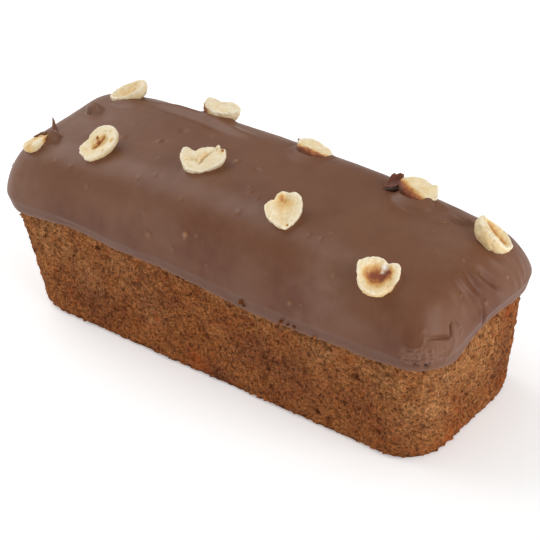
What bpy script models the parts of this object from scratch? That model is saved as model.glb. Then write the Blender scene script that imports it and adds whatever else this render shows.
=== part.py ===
"""Praline cake: a loaf of dark sponge under a thick coat of praline chocolate, topped with hazelnut halves.

+X runs along the loaf, -Y is its front, and the origin lies under its middle, on the surface it stands on.
Sizes below are in millimetres; MM turns them into metres where a mesh is made.
"""
import math

import bmesh
import bpy
import numpy as np
from mathutils import Matrix, Vector, noise

MM = 0.001
GAP = 0.35                  # clear space between solids that touch

# Sponge: a loaf-tin shape that widens upwards, with round upright corners
BASE_LENGTH = 167.6
BASE_WIDTH = 58.2
BASE_CORNER = 15.0          # corner radius at the bottom
END_FLARE = 0.106           # how far an end wall leans out for each millimetre of height
SIDE_FLARE = 0.015
BASE_ROUNDING = 2.4         # rounding of the bottom edge
WALL_RELIEF = 0.9           # how deep the crumb's crags go
CRAG_SIZE = 6.5

# Icing: its lower edge, the bulge above that edge, and the crown
EDGE_HEIGHT = 39.1          # mean height of the lower edge
EDGE_CORNER = 9.4           # corner radius of the loaf at that height
BULGE_HEIGHT = 43.9
BULGE_REACH = 1.6           # how far the bulge stands out from the sponge
TOTAL_HEIGHT = 68.4         # crown of the icing, below the nuts
ICING_THICKNESS = 4.2       # on top
CROWN_POWER = 5.7           # the higher, the flatter the top and the tighter its shoulder
CROWN_BEND = 0.83
END_INSET = 0.6             # the end shoulders are steeper than the side ones
END_DROP = 0.367            # how much lower the crown is at the ends, as a share of its rise
END_DROP_POWER = 2.6

# Steps round the loaf and up it
LONG_STEPS = 24
END_STEPS = 9
CORNER_STEPS = 6
WALL_HEIGHTS = (2.4, 6.0, 10.0, 14.0, 18.0, 22.0, 26.0, 30.0, 33.5, 36.5, 40.0, BULGE_HEIGHT)
CROWN_SHARES = (0.03, 0.08, 0.15, 0.24, 0.38, 0.6, 1.0)
ICING_SHARES = (0.01, 0.03, 0.06, 0.1, 0.15, 0.21, 0.29, 0.4, 0.55, 0.76, 1.0)
LIP_PROFILE = ((0.0, 0.65), (0.6, 1.1), (2.2, 1.4))      # height above the edge, reach from the sponge

# Lower edge of the icing: distance round the loaf from the front left corner, height
EDGE_WAVE = (
    (0, 39.0), (14, 40.3), (25, 41.4), (42, 40.0), (62, 40.3), (76, 39.2), (91, 37.6), (106, 37.0),
    (122, 37.3), (134, 38.1), (144, 37.8), (157, 39.3), (168, 39.6), (179, 36.1), (188, 40.1), (197, 41.3),
    (214, 39.8), (222, 41.4), (250, 39.5), (280, 40.8), (310, 39.0), (345, 40.5), (380, 39.4), (410, 40.6),
    (435, 39.2), (450, 40.2), (462, 38.7),
)

# Lumps of chocolate fused to the top: middle, then radius along each axis
LUMPS = (
    ((-74.0, 4.8, 62.8), (2.7, 2.7, 2.6)),        # a nut crumb wholly under the chocolate
    ((-74.8, -14.8, 61.3), (4.2, 4.0, 1.9)),      # beside the nut at the left end, under the thorn
    ((8.6, 14.2, 68.0), (6.4, 3.2, 1.7)),         # in front of the third nut of the back row
    ((47.4, 14.2, 66.4), (6.4, 3.2, 1.6)),        # in front of the nut beside the curled flake
)

# Hazelnut halves lie on their round backs with the split face up.
# place is the middle of the rim; the face leans from straight up towards a compass angle in degrees,
# and spin turns the nut's length from +X. bites dent the rim: angle round it, spread, share of the
# radius taken off, and how far the rim drops there; below zero they swell and lift it instead.
NUTS = (
    dict(place=(-68.6, 16.4, 66.8), lean=30, toward=169, spin=49, length=13.6, width=11.4, depth=5.0,
         hollow=0.72, bites=((0, 60, 0.0, -0.8), (90, 40, 0.06, 0.0))),
    dict(place=(-76.6, -21.5, 62.8), lean=26, toward=-145, spin=56, length=13.0, width=9.6, depth=4.0,
         hollow=0.62, bites=((25, 30, 0.12, 0.5),)),
    dict(place=(-50.9, -17.1, 68.6), lean=29, toward=-97, spin=62, length=15.8, width=11.4, depth=4.6,
         hollow=0.50, bites=((118, 24, 0.10, 0.3),)),
    dict(place=(-30.3, 21.6, 69.2), lean=6, toward=112, spin=14, length=12.8, width=9.4, depth=5.8,
         hollow=0.64, bites=((180, 40, -0.02, -1.6), (70, 30, 0.14, 1.3), (-70, 34, 0.04, 0.9))),
    dict(place=(-12.6, -8.8, 71.3), lean=31, toward=-44, spin=47, length=14.8, width=11.0, depth=4.6,
         hollow=0.60, bites=((118, 16, 0.26, 0.8), (148, 16, -0.10, -0.3), (48, 10, 0.14, 0.6),
                             (28, 14, -0.08, -0.4), (84, 18, 0.14, 0.3))),
    dict(place=(11.3, 17.9, 68.6), lean=20, toward=69, spin=2, length=12.6, width=9.8, depth=4.2,
         hollow=0.62, bites=((200, 30, 0.12, 0.4),)),
    dict(place=(27.4, -17.6, 70.8), lean=38, toward=-46, spin=119, length=12.4, width=12.2, depth=5.0,
         hollow=0.58, bites=((48, 15, 0.24, 0.6), (22, 13, -0.08, -0.2), (-4, 12, 0.06, 0.3))),
    dict(place=(53.7, 16.6, 68.0), lean=24, toward=46, spin=10, length=13.4, width=10.6, depth=4.6,
         hollow=0.64, bites=((150, 30, 0.08, 0.4),)),
    dict(place=(67.3, -23.3, 64.3), lean=35, toward=-45, spin=35, length=13.6, width=12.4, depth=4.8,
         hollow=0.62, bites=((52, 12, 0.22, 0.5), (146, 16, -0.18, -0.2), (94, 18, 0.08, 0.0))),
    dict(place=(83.2, 14.6, 63.6), lean=50, toward=45, spin=14, length=14.2, width=10.4, depth=5.3,
         hollow=0.66, bites=()),
)
NUT_SEGMENTS = 24
NUT_RINGS = 8
RIM_HEIGHT = 1.0            # rounding of the rim above the nut's widest line
HOLLOW_DEPTH = 2.9
NUT_BLUNTNESS = 0.86        # under 1 makes the back of a nut rounder than an ellipsoid


def clear_scene():
    for item in list(bpy.data.objects):
        bpy.data.objects.remove(item, do_unlink=True)


def new_collection(name):
    collection = bpy.data.collections.new(name)
    bpy.context.scene.collection.children.link(collection)
    return collection


def linear(red, green, blue):
    """A colour read off a screen, 0 to 255, as the linear values that a shader takes."""
    values = [channel / 255 for channel in (red, green, blue)]
    return tuple(value / 12.92 if value < 0.04045 else ((value + 0.055) / 1.055) ** 2.4 for value in values)


def new_material(name, colour, roughness):
    material = bpy.data.materials.new(name)
    material.use_nodes = True
    shader = material.node_tree.nodes["Principled BSDF"]
    shader.inputs["Base Color"].default_value = (*linear(*colour), 1.0)
    shader.inputs["Roughness"].default_value = roughness
    shader.inputs["Metallic"].default_value = 0.0
    material.diffuse_color = (*linear(*colour), 1.0)
    return material


def ring(half_length, half_width, radius):
    """Points round a rectangle with round corners, counter-clockwise from the front left."""
    turn = np.linspace(0.0, math.pi / 2, CORNER_STEPS + 1)
    arcs = []
    for quarter, (side_x, side_y) in enumerate(((1, -1), (1, 1), (-1, 1), (-1, -1))):
        angle = turn + (quarter - 1) * math.pi / 2
        x = side_x * (half_length - radius) + radius * np.cos(angle)
        y = side_y * (half_width - radius) + radius * np.sin(angle)
        arcs.append(np.column_stack([x, y]))
    points = []
    for quarter, arc in enumerate(arcs):
        steps = END_STEPS if quarter % 2 else LONG_STEPS
        before = arcs[quarter - 1][-1]
        share = np.linspace(0.0, 1.0, steps + 1)[1:-1, None]
        points.append(before + share * (arc[0] - before))
        points.append(arc)
    return np.concatenate(points)


def wall_size(height):
    """Half length, half width and corner radius of the sponge at a height."""
    rise = height / EDGE_HEIGHT
    radius = BASE_CORNER + (EDGE_CORNER - BASE_CORNER) * rise
    return BASE_LENGTH / 2 + END_FLARE * height, BASE_WIDTH / 2 + SIDE_FLARE * height, radius


def wall_ring(height, reach=0.0):
    """The sponge's outline at a height, moved outwards by reach."""
    half_length, half_width, radius = wall_size(height)
    flat = ring(half_length + reach, half_width + reach, max(radius + reach, 0.5))
    return np.column_stack([flat, np.full(len(flat), height)])


def crown_ring(share, reach, drop):
    """A ring of the crown: share runs from 0 at the bulge to 1 at the ridge along the top."""
    half_length, half_width, radius = wall_size(BULGE_HEIGHT)
    half_length = half_length + reach
    half_width = half_width + reach
    inset = share * half_width
    corner = min(half_width - inset, (radius + reach) * (1 - share))
    flat = ring(half_length - inset * END_INSET, half_width - inset, corner)
    rise = (TOTAL_HEIGHT - BULGE_HEIGHT - drop) * (1 - (1 - share) ** CROWN_POWER) ** CROWN_BEND
    fall = 1 - END_DROP * np.abs(flat[:, 0] / half_length) ** END_DROP_POWER
    return np.column_stack([flat, BULGE_HEIGHT + rise * fall])


def edge_height(points):
    """Height of the icing's lower edge at each point of a ring."""
    outline = wall_ring(EDGE_HEIGHT, BULGE_REACH)[:, :2]
    steps = np.linalg.norm(outline - np.roll(outline, 1, axis=0), axis=1)
    first = np.linalg.norm(outline[1] - outline[0])
    distance = np.cumsum(steps) - steps[0] + first
    around = [place for place, height in EDGE_WAVE]
    heights = [height for place, height in EDGE_WAVE]
    return np.interp(distance, around, heights, period=steps.sum())


def crags(points):
    """The crumb's relief, at most WALL_RELIEF deep and gone where the icing covers the wall."""
    pushed = points.copy()
    outward = points[:, :2] / np.array([BASE_LENGTH / 2, BASE_WIDTH / 2])
    outward = np.sign(outward) * np.abs(outward) ** 8
    outward = outward / np.linalg.norm(outward, axis=1)[:, None]
    bare = np.clip((EDGE_HEIGHT - 3.5 - points[:, 2]) / 2.0, 0.0, 1.0)
    for index, point in enumerate(points):
        rough = 0.5 + 0.5 * noise.turbulence(Vector(point) / CRAG_SIZE, 2, False)
        pushed[index, :2] -= outward[index] * WALL_RELIEF * bare[index] * min(max(rough, 0.0), 1.0)
    return pushed


def loft(name, rings, collection, material):
    """A closed skin through rings of equally many points, whose ends are a flat face or a ridge line."""
    mesh = bmesh.new()
    loops = [[mesh.verts.new(Vector(point) * MM) for point in points] for points in rings]
    for lower, upper in zip(loops, loops[1:]):
        for index in range(len(lower)):
            after = (index + 1) % len(lower)
            mesh.faces.new((lower[index], lower[after], upper[after], upper[index]))
    for points, loop in ((rings[0], loops[0][::-1]), (rings[-1], loops[-1])):
        if np.ptp(points[:, 1]) > 1.0:
            mesh.faces.new(loop)
    bmesh.ops.remove_doubles(mesh, verts=mesh.verts, dist=0.01 * MM)
    bmesh.ops.recalc_face_normals(mesh, faces=mesh.faces)
    return finish_mesh(name, mesh, collection, material)


def finish_mesh(name, mesh, collection, material):
    data = bpy.data.meshes.new(name)
    mesh.to_mesh(data)
    mesh.free()
    data.shade_smooth()
    data.materials.append(material)
    item = bpy.data.objects.new(name, data)
    collection.objects.link(item)
    return item


def make_sponge(collection, material):
    """The loaf itself: a flat base, craggy walls, and a plain crown under the icing."""
    rings = []
    for share in (0.0, 0.3, 0.65):
        angle = share * math.pi / 2
        height = BASE_ROUNDING * (1 - math.cos(angle))
        rings.append(wall_ring(height, BASE_ROUNDING * (math.sin(angle) - 1)))
    rings += [wall_ring(height) for height in WALL_HEIGHTS]
    rings = rings[:1] + [crags(points) for points in rings[1:]]
    rings += [crown_ring(share, 0.0, ICING_THICKNESS) for share in CROWN_SHARES]
    return loft("sponge", rings, collection, material)


def lip_ring(height, reach, follow=1.0):
    """A ring that rises and falls with the icing's lower edge, sliding along the flaring wall."""
    points = wall_ring(height, reach)
    slope = wall_ring(height + 1.0, reach) - points
    lift = follow * (edge_height(points) - EDGE_HEIGHT)
    return points + slope * lift[:, None]


def make_icing(collection, material):
    """The coat of chocolate: inside along the sponge, round its lower edge, then out over the crown."""
    inside = [crown_ring(share, GAP, ICING_THICKNESS - GAP) for share in CROWN_SHARES]
    rings = inside[::-1]
    rings.append(wall_ring(BULGE_HEIGHT, GAP))
    rings.append(lip_ring(EDGE_HEIGHT, GAP))
    rings += [lip_ring(EDGE_HEIGHT + above, reach) for above, reach in LIP_PROFILE]
    rings.append(lip_ring(BULGE_HEIGHT, BULGE_REACH, follow=0.5))
    rings += [crown_ring(share, BULGE_REACH, 0.0) for share in ICING_SHARES]
    return loft("icing", rings, collection, material)


def rim_shape(nut, angle):
    """Share of the full radius, and the drop of the rim, at an angle round the nut."""
    share = 1.0
    drop = 0.0
    for middle, spread, pull, low in nut["bites"]:
        away = math.remainder(angle - math.radians(middle), 2 * math.pi)
        weight = math.exp(-(away / math.radians(spread)) ** 2)
        share = share - pull * weight
        drop = drop + low * weight
    return share, drop


def shape_nut(nut, data, grow, hollow_depth):
    """Turn a unit sphere into a half nut: a round back, a rim and a hollow split face."""
    half_length = nut["length"] / 2 + grow
    half_width = nut["width"] / 2 + grow
    for vertex in data.vertices:
        x, y, z = vertex.co
        around = math.atan2(y, x)
        level = math.asin(max(-1.0, min(1.0, z))) / (math.pi / 2)
        share, drop = rim_shape(nut, around)
        if level <= 0.0:
            out = math.cos(level * math.pi / 2) ** NUT_BLUNTNESS
            height = (nut["depth"] + grow) * math.sin(level * math.pi / 2)
        else:
            out = 1.0 - level ** 1.4
            rim = (RIM_HEIGHT - drop + grow) * math.sin(min(level / 0.25, 1.0) * math.pi / 2)
            inner = max(0.0, 1.0 - (out / nut["hollow"]) ** 2)
            height = rim - hollow_depth * inner
        share = 1.0 - (1.0 - share) * out
        vertex.co = (
            half_length * out * share * math.cos(around) * MM,
            half_width * out * share * math.sin(around) * MM,
            height * MM,
        )


def nut_matrix(nut):
    """Spin the nut, lean its face over, and move it to its place."""
    toward = Matrix.Rotation(math.radians(nut["toward"]), 4, "Z")
    lean = toward @ Matrix.Rotation(math.radians(nut["lean"]), 4, "Y") @ toward.inverted()
    spin = Matrix.Rotation(math.radians(nut["spin"]), 4, "Z")
    return Matrix.Translation(Vector(nut["place"]) * MM) @ lean @ spin


def place_in(collection, item, name):
    """Name a new object and keep it in one collection only."""
    item.name = name
    item.data.name = name
    for owner in list(item.users_collection):
        owner.objects.unlink(item)
    collection.objects.link(item)


def make_nut(name, nut, collection, material, grow=0.0, hollow_depth=HOLLOW_DEPTH):
    bpy.ops.mesh.primitive_uv_sphere_add(segments=NUT_SEGMENTS, ring_count=NUT_RINGS, radius=1.0)
    item = bpy.context.object
    shape_nut(nut, item.data, grow, hollow_depth)
    item.matrix_world = nut_matrix(nut)
    item.data.shade_smooth()
    item.data.materials.append(material)
    place_in(collection, item, name)
    return item


def make_lump(name, middle, radii, collection):
    bpy.ops.mesh.primitive_uv_sphere_add(segments=12, ring_count=6, radius=MM)
    item = bpy.context.object
    item.scale = radii
    item.location = Vector(middle) * MM
    place_in(collection, item, name)
    return item


def make_thorn(name, base, tip, radius, collection):
    """A drawn-out point of set chocolate, from a broad foot to a tip."""
    base = Vector(base)
    axis = Vector(tip) - base
    bpy.ops.mesh.primitive_cone_add(
        vertices=8,
        radius1=radius * MM,
        radius2=0.15 * radius * MM,
        depth=axis.length * MM,
    )
    item = bpy.context.object
    turn = axis.to_track_quat("Z", "Y").to_matrix().to_4x4()
    item.matrix_world = Matrix.Translation((base + axis / 2) * MM) @ turn
    place_in(collection, item, name)
    return item


def make_curl(name, base, tip, width, thickness, collection):
    """A flake of chocolate that stands up from the top and curls over at its free end."""
    base = Vector(base)
    axis = Vector(tip) - base
    bpy.ops.mesh.primitive_cube_add(size=1.0)
    item = bpy.context.object
    mesh = bmesh.new()
    mesh.from_mesh(item.data)
    along = [edge for edge in mesh.edges if abs(edge.verts[0].co.x - edge.verts[1].co.x) > 0.5]
    bmesh.ops.subdivide_edges(mesh, edges=along, cuts=5, use_grid_fill=True)
    for vertex in mesh.verts:
        share = vertex.co.x + 0.5
        curl = 0.9 * math.sin(share * math.pi)
        vertex.co = Vector((
            share * axis.length,
            vertex.co.y * width * (0.75 + 0.35 * share),
            vertex.co.z * thickness * (1.3 - 0.7 * share) + curl,
        )) * MM
    mesh.to_mesh(item.data)
    mesh.free()
    turn = axis.to_track_quat("X", "Z").to_matrix().to_4x4()
    item.matrix_world = Matrix.Translation(base * MM) @ turn
    place_in(collection, item, name)
    return item


def boolean(item, operation, collection):
    modifier = item.modifiers.new(operation.lower(), "BOOLEAN")
    modifier.operation = operation
    modifier.operand_type = "COLLECTION"
    modifier.collection = collection
    modifier.solver = "EXACT"
    return modifier


def fuse_flakes(icing, material):
    """Join the lumps, flakes and points of chocolate to the coat they stand on."""
    flakes = new_collection("flakes")
    for number, (middle, radii) in enumerate(LUMPS, start=1):
        make_lump(f"lump_{number:02d}", middle, radii, flakes)
    make_thorn("thorn_left", (-77.2, -12.2, 60.6), (-79.8, -9.4, 65.6), 1.9, flakes)
    make_thorn("thorn_back", (5.0, 18.2, 66.8), (4.2, 20.0, 69.6), 1.0, flakes)
    make_curl("curl", (40.2, 15.2, 65.8), (43.8, 20.4, 69.8), 4.0, 1.2, flakes)
    for item in flakes.objects:
        item.data.materials.append(material)
    modifier = boolean(icing, "UNION", flakes)
    bpy.context.view_layer.objects.active = icing
    bpy.ops.object.modifier_apply(modifier=modifier.name)
    for item in list(flakes.objects):
        bpy.data.objects.remove(item, do_unlink=True)
    bpy.data.collections.remove(flakes)


def main():
    clear_scene()
    cake = new_collection("praline_cake")
    pockets = new_collection("cutters")
    sponge_material = new_material("sponge", (126, 78, 46), 0.9)
    icing_material = new_material("praline_icing", (121, 87, 72), 0.38)
    nut_material = new_material("hazelnut", (236, 218, 180), 0.55)
    make_sponge(cake, sponge_material)
    icing = make_icing(cake, icing_material)
    fuse_flakes(icing, icing_material)
    for number, nut in enumerate(NUTS, start=1):
        make_nut(f"hazelnut_{number:02d}", nut, cake, nut_material)
        pocket = make_nut(f"pocket_{number:02d}", nut, pockets, nut_material, GAP, hollow_depth=0.0)
        pocket.hide_render = True
        pocket.display_type = "WIRE"
    boolean(icing, "DIFFERENCE", pockets)


main()
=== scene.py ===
import math

import bmesh
import bpy
import numpy as np
from mathutils import Matrix, Vector, kdtree, noise


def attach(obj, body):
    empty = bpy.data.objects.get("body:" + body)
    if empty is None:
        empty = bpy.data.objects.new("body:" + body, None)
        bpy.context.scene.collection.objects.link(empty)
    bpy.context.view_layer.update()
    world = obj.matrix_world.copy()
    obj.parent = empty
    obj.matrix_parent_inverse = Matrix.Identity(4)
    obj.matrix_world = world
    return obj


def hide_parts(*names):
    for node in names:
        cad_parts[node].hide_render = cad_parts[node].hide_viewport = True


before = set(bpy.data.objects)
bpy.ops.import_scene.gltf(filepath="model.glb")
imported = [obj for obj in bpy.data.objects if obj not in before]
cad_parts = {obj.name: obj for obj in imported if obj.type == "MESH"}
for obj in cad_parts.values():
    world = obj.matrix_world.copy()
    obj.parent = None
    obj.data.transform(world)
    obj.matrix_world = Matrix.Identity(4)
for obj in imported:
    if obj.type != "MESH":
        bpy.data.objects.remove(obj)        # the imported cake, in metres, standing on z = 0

scene = bpy.context.scene
mm = 0.001               # everything below is worked out in millimetres
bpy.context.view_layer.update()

# the loaf's form, the same as the solids have
loaf = {
    "baseLength": 167.6, "baseWidth": 58.2, "baseCorner": 15, "baseRounding": 2.4,
    "endFlare": 0.106, "sideFlare": 0.015,              # the walls lean out as they rise
    "edgeHeight": 39.1, "edgeCorner": 9.4,              # lower edge of the chocolate
    "bulgeHeight": 43.9, "bulgeReach": 1.6,
    "totalHeight": 68.4, "crownPower": 5.7, "crownBend": 0.83,
    "endInset": 0.6, "endDrop": 0.367, "endDropPower": 2.6,
    "runSteps": (352, 112, 240, 62),                    # points on the front, right end, back, left end
    "cornerSteps": (64, 46, 36, 40),                    # front right, back right, back left, front left
}


def smoothStep(value, low, high):
    share = np.clip((value - low) / (high - low), 0.0, 1.0)
    return share * share * (3.0 - 2.0 * share)


def bell(away, width):
    return np.exp(-(away / width) ** 2)


def roundedRing(halfLength, halfWidth, radius):
    # counter-clockwise from the front left corner
    arcs = []
    for quarter, (sideX, sideY) in enumerate(((1, -1), (1, 1), (-1, 1), (-1, -1))):
        steps = loaf["cornerSteps"][quarter]
        angle = np.linspace(0.0, math.pi / 2, steps + 1) + (quarter - 1) * math.pi / 2
        x = sideX * (halfLength - radius) + radius * np.cos(angle)
        y = sideY * (halfWidth - radius) + radius * np.sin(angle)
        arcs.append(np.column_stack([x, y]))
    points = []
    for quarter, arc in enumerate(arcs):
        before = arcs[quarter - 1][-1]
        share = np.linspace(0.0, 1.0, loaf["runSteps"][quarter] + 1)[1:-1, None]
        points.append(before + share * (arc[0] - before))
        points.append(arc)
    return np.concatenate(points)


def wallSize(height):
    rise = height / loaf["edgeHeight"]
    radius = loaf["baseCorner"] + (loaf["edgeCorner"] - loaf["baseCorner"]) * rise
    halfLength = loaf["baseLength"] / 2 + loaf["endFlare"] * height
    return halfLength, loaf["baseWidth"] / 2 + loaf["sideFlare"] * height, radius


def wallRing(height, reach=0.0):
    halfLength, halfWidth, radius = wallSize(height)
    flat = roundedRing(halfLength + reach, halfWidth + reach, max(radius + reach, 0.5))
    return np.column_stack([flat, np.full(len(flat), height)])


def crownArch(share):
    # how far the crown has risen, where share runs from 0 at the bulge to 1 at the ridge along the top
    return (1 - (1 - share) ** loaf["crownPower"]) ** loaf["crownBend"]


def crownRing(share, reach, drop):
    halfLength, halfWidth, radius = wallSize(loaf["bulgeHeight"])
    halfLength += reach
    halfWidth += reach
    inset = share * halfWidth
    corner = min(halfWidth - inset, (radius + reach) * (1 - share))
    flat = roundedRing(halfLength - inset * loaf["endInset"], halfWidth - inset, corner)
    rise = (loaf["totalHeight"] - loaf["bulgeHeight"] - drop) * crownArch(share)
    fall = 1 - loaf["endDrop"] * np.abs(flat[:, 0] / halfLength) ** loaf["endDropPower"]
    return np.column_stack([flat, loaf["bulgeHeight"] + rise * fall])


def outward(grid):
    # unit normals of a stack of rings
    along = np.roll(grid, -1, axis=1) - np.roll(grid, 1, axis=1)
    normal = np.cross(along, np.gradient(grid, axis=0))
    size = np.linalg.norm(normal, axis=2, keepdims=True)
    flat = size[:, :, 0] < 1e-7
    normal = normal / np.maximum(size, 1e-7)
    normal[flat] = (0.0, 0.0, 1.0)
    return normal


def roughness(points, size, seed, octaves=1):
    # smooth random values, about -1 to 1, with bumps of the given size
    shift = Vector((seed * 17.31, seed * -9.17, seed * 5.73))
    flat = np.asarray(points).reshape(-1, 3) / size
    values = [noise.fractal(Vector(point) + shift, 1.0, 2.0, octaves) for point in flat]
    return np.array(values).reshape(np.shape(points)[:-1])


def smoothLine(points, steps=8):
    # a curve through the points
    points = np.array(points, float)
    padded = np.concatenate([2 * points[:1] - points[1:2], points, 2 * points[-1:] - points[-2:-1]])
    made = []
    for start in range(len(points) - 1):
        a, b, c, d = padded[start:start + 4]
        for share in np.linspace(0.0, 1.0, steps, endpoint=False):
            bent = 2 * b + (c - a) * share + (2 * a - 5 * b + 4 * c - d) * share ** 2
            made.append(0.5 * (bent + (3 * b - a - 3 * c + d) * share ** 3))
    made.append(points[-1])
    return np.array(made)


def alongLine(grid, line):
    # distance of each point to a line, and its place along that line from 0 to 1
    line = smoothLine(line)
    points = grid.reshape(-1, line.shape[1])
    lengths = np.linalg.norm(np.diff(line, axis=0), axis=1)
    best = np.full(len(points), 1e9)
    place = np.zeros(len(points))
    start = 0.0
    for a, b, length in zip(line, line[1:], lengths):
        way = (b - a) / length
        share = np.clip((points - a) @ way, 0.0, length)
        away = np.linalg.norm(points - (a + share[:, None] * way), axis=1)
        closer = away < best
        best[closer] = away[closer]
        place[closer] = (start + share[closer]) / lengths.sum()
        start += length
    return best.reshape(grid.shape[:-1]), place.reshape(grid.shape[:-1])


def archTaper(place):
    # full in the middle of a line, nothing at its ends
    return np.sqrt(np.clip(4.0 * place * (1.0 - place), 0.0, 1.0))


def nearSpots(grid, spots):
    # round bumps and dents, each (x, y, z, radius, height); the strongest counts where they overlap
    points = grid.reshape(-1, 3)
    tree = kdtree.KDTree(len(points))
    for index, point in enumerate(points):
        tree.insert(point, index)
    tree.balance()
    total = np.zeros(len(points))
    for *place, radius, height in spots:
        for _, index, away in tree.find_range(place, radius):
            bump = height * (1.0 - (away / radius) ** 2)
            if abs(bump) > abs(total[index]):
                total[index] = bump
    return total.reshape(grid.shape[:-1])


def makeSkin(name, grid, values, material):
    # a closed mesh over a stack of rings, whose ends meet in a line or a point
    levels, stations = grid.shape[:2]
    here = np.arange(stations)
    after = (here + 1) % stations
    row = np.arange(levels - 1)[:, None] * stations
    quads = np.stack([row + here, row + after, row + stations + after, row + stations + here], axis=-1)
    data = bpy.data.meshes.new(name)
    data.from_pydata((grid.reshape(-1, 3) * mm).tolist(), [], quads.reshape(-1, 4).tolist())
    for label, value in values.items():
        layer = data.attributes.new(label, "FLOAT", "POINT")
        layer.data.foreach_set("value", np.asarray(value, np.float32).ravel())
    mesh = bmesh.new()
    mesh.from_mesh(data)
    bmesh.ops.remove_doubles(mesh, verts=mesh.verts, dist=0.012 * mm)
    bmesh.ops.dissolve_degenerate(mesh, edges=mesh.edges, dist=0.002 * mm)
    bmesh.ops.recalc_face_normals(mesh, faces=mesh.faces)
    mesh.to_mesh(data)
    mesh.free()
    data.shade_smooth()
    data.materials.append(material)
    item = bpy.data.objects.new(name, data)
    scene.collection.objects.link(item)
    return item


def joinInto(item, extras):
    # closed scraps that become part of the same piece
    bpy.ops.object.select_all(action="DESELECT")
    for extra in extras:
        extra.select_set(True)
    item.select_set(True)
    bpy.context.view_layer.objects.active = item
    bpy.ops.object.join()
    item.select_set(False)


def linear(colour):
    # a screen colour, 0 to 255, as the shader takes it
    values = [channel / 255 for channel in colour]
    values = [value / 12.92 if value < 0.04045 else ((value + 0.055) / 1.055) ** 2.4 for value in values]
    return values + [1.0]


def newMaterial(name):
    material = bpy.data.materials.new(name)
    material.use_nodes = True
    return material, material.node_tree, material.node_tree.nodes["Principled BSDF"]


def put(tree, kind, inputs=None, **settings):
    made = tree.nodes.new(kind)
    for label, value in settings.items():
        setattr(made, label, value)
    for label, value in (inputs or {}).items():
        if isinstance(value, bpy.types.NodeSocket):
            tree.links.new(value, made.inputs[label])
        else:
            made.inputs[label].default_value = value
    return made


def calc(tree, operation, first, second):
    return put(tree, "ShaderNodeMath", {0: first, 1: second}, operation=operation).outputs[0]


def remap(tree, value, low, high, toLow=0.0, toHigh=1.0):
    inputs = {0: value, 1: low, 2: high, 3: toLow, 4: toHigh}
    return put(tree, "ShaderNodeMapRange", inputs).outputs[0]


def blendColour(tree, share, first, second, kind="MIX"):
    inputs = {0: share, 6: first, 7: second}
    return put(tree, "ShaderNodeMix", inputs, data_type="RGBA", blend_type=kind).outputs[2]


def grain(tree, place, size, detail=2.0, rough=0.5, warp=0.0):
    # noise whose bumps are about size millimetres wide
    inputs = {"Vector": place, "Scale": 1.0 / (size * mm), "Detail": detail, "Roughness": rough,
              "Distortion": warp}
    return put(tree, "ShaderNodeTexNoise", inputs).outputs["Fac"]


def speckle(tree, place, noiseShape, low, high, toLow=0.0, toHigh=1.0):
    return remap(tree, grain(tree, place, *noiseShape), low, high, toLow, toHigh)


def readValue(tree, label):
    return put(tree, "ShaderNodeAttribute", attribute_name=label).outputs["Fac"]


def layTones(tree, place, colour, tones, layers):
    # lays one tone over the other; where is a value kept in the mesh, a noise (size, detail, roughness,
    # distortion) or a socket, and the tone comes in as that rises from low to high
    for tone, where, low, high, strength in layers:
        if isinstance(where, str):
            where = readValue(tree, where)
        elif isinstance(where, tuple):
            where = grain(tree, place, *where)
        if (low, high) != (0, 1):
            where = remap(tree, where, low, high)
        if strength != 1:
            where = calc(tree, "MULTIPLY", where, strength)
        colour = blendColour(tree, where, colour, tones[tone])
    return colour


def startMaterial(name, tones):
    material, tree, shader = newMaterial(name)
    place = put(tree, "ShaderNodeTexCoord").outputs["Object"]
    return material, tree, shader, place, {label: linear(colour) for label, colour in tones.items()}


def finishMaterial(tree, shader, colour, rough, relief, piece):
    tree.links.new(colour, shader.inputs["Base Color"])
    tree.links.new(rough, shader.inputs["Roughness"])
    shader.inputs["Specular IOR Level"].default_value = piece["gloss"]
    strength, depth = piece["bump"]
    bump = put(tree, "ShaderNodeBump", {"Strength": strength, "Distance": depth * mm, "Height": relief})
    tree.links.new(bump.outputs["Normal"], shader.inputs["Normal"])


# lower edge of the chocolate
edgeShape = {
    # distance round the loaf from its front left corner, height
    "wave": (
        (0, 39), (14, 40.3), (25, 41.4), (42, 40), (62, 40.3), (76, 39.2), (91, 37.6), (106, 37),
        (122, 37.3), (134, 38.1), (144, 37.8), (157, 39.3), (168, 39.6), (179, 36.1), (188, 40.1),
        (197, 41.3), (214, 39.8), (222, 41.4), (250, 39.5), (280, 40.8), (310, 39), (345, 40.5),
        (380, 39.4), (410, 40.6), (435, 39.2), (450, 40.2), (462, 38.7),
    ),
    "soften": ((-2.4, 1), (-1.2, 2), (0, 3), (1.2, 2), (2.4, 1)),       # shift along the edge, weight
    "wavelets": ((5.5, 0.28), (2.1, 0.2)),                              # size, height
}


def edgeLine():
    # height of the chocolate's lower edge at each station
    outline = wallRing(loaf["edgeHeight"], loaf["bulgeReach"])
    steps = np.linalg.norm(outline - np.roll(outline, 1, axis=0), axis=1)
    distance = np.cumsum(steps) - steps[0] + steps[1]
    around, heights = zip(*edgeShape["wave"])
    total = sum(weight for shift, weight in edgeShape["soften"])
    line = 0.0
    for shift, weight in edgeShape["soften"]:
        line = line + weight / total * np.interp(distance + shift, around, heights, period=steps.sum())
    return line + sum(height * roughness(outline, size, seed)
                      for seed, (size, height) in enumerate(edgeShape["wavelets"], start=3))


edge = edgeLine()
print("shape of the loaf ready,", len(edge), "stations round it")


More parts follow.
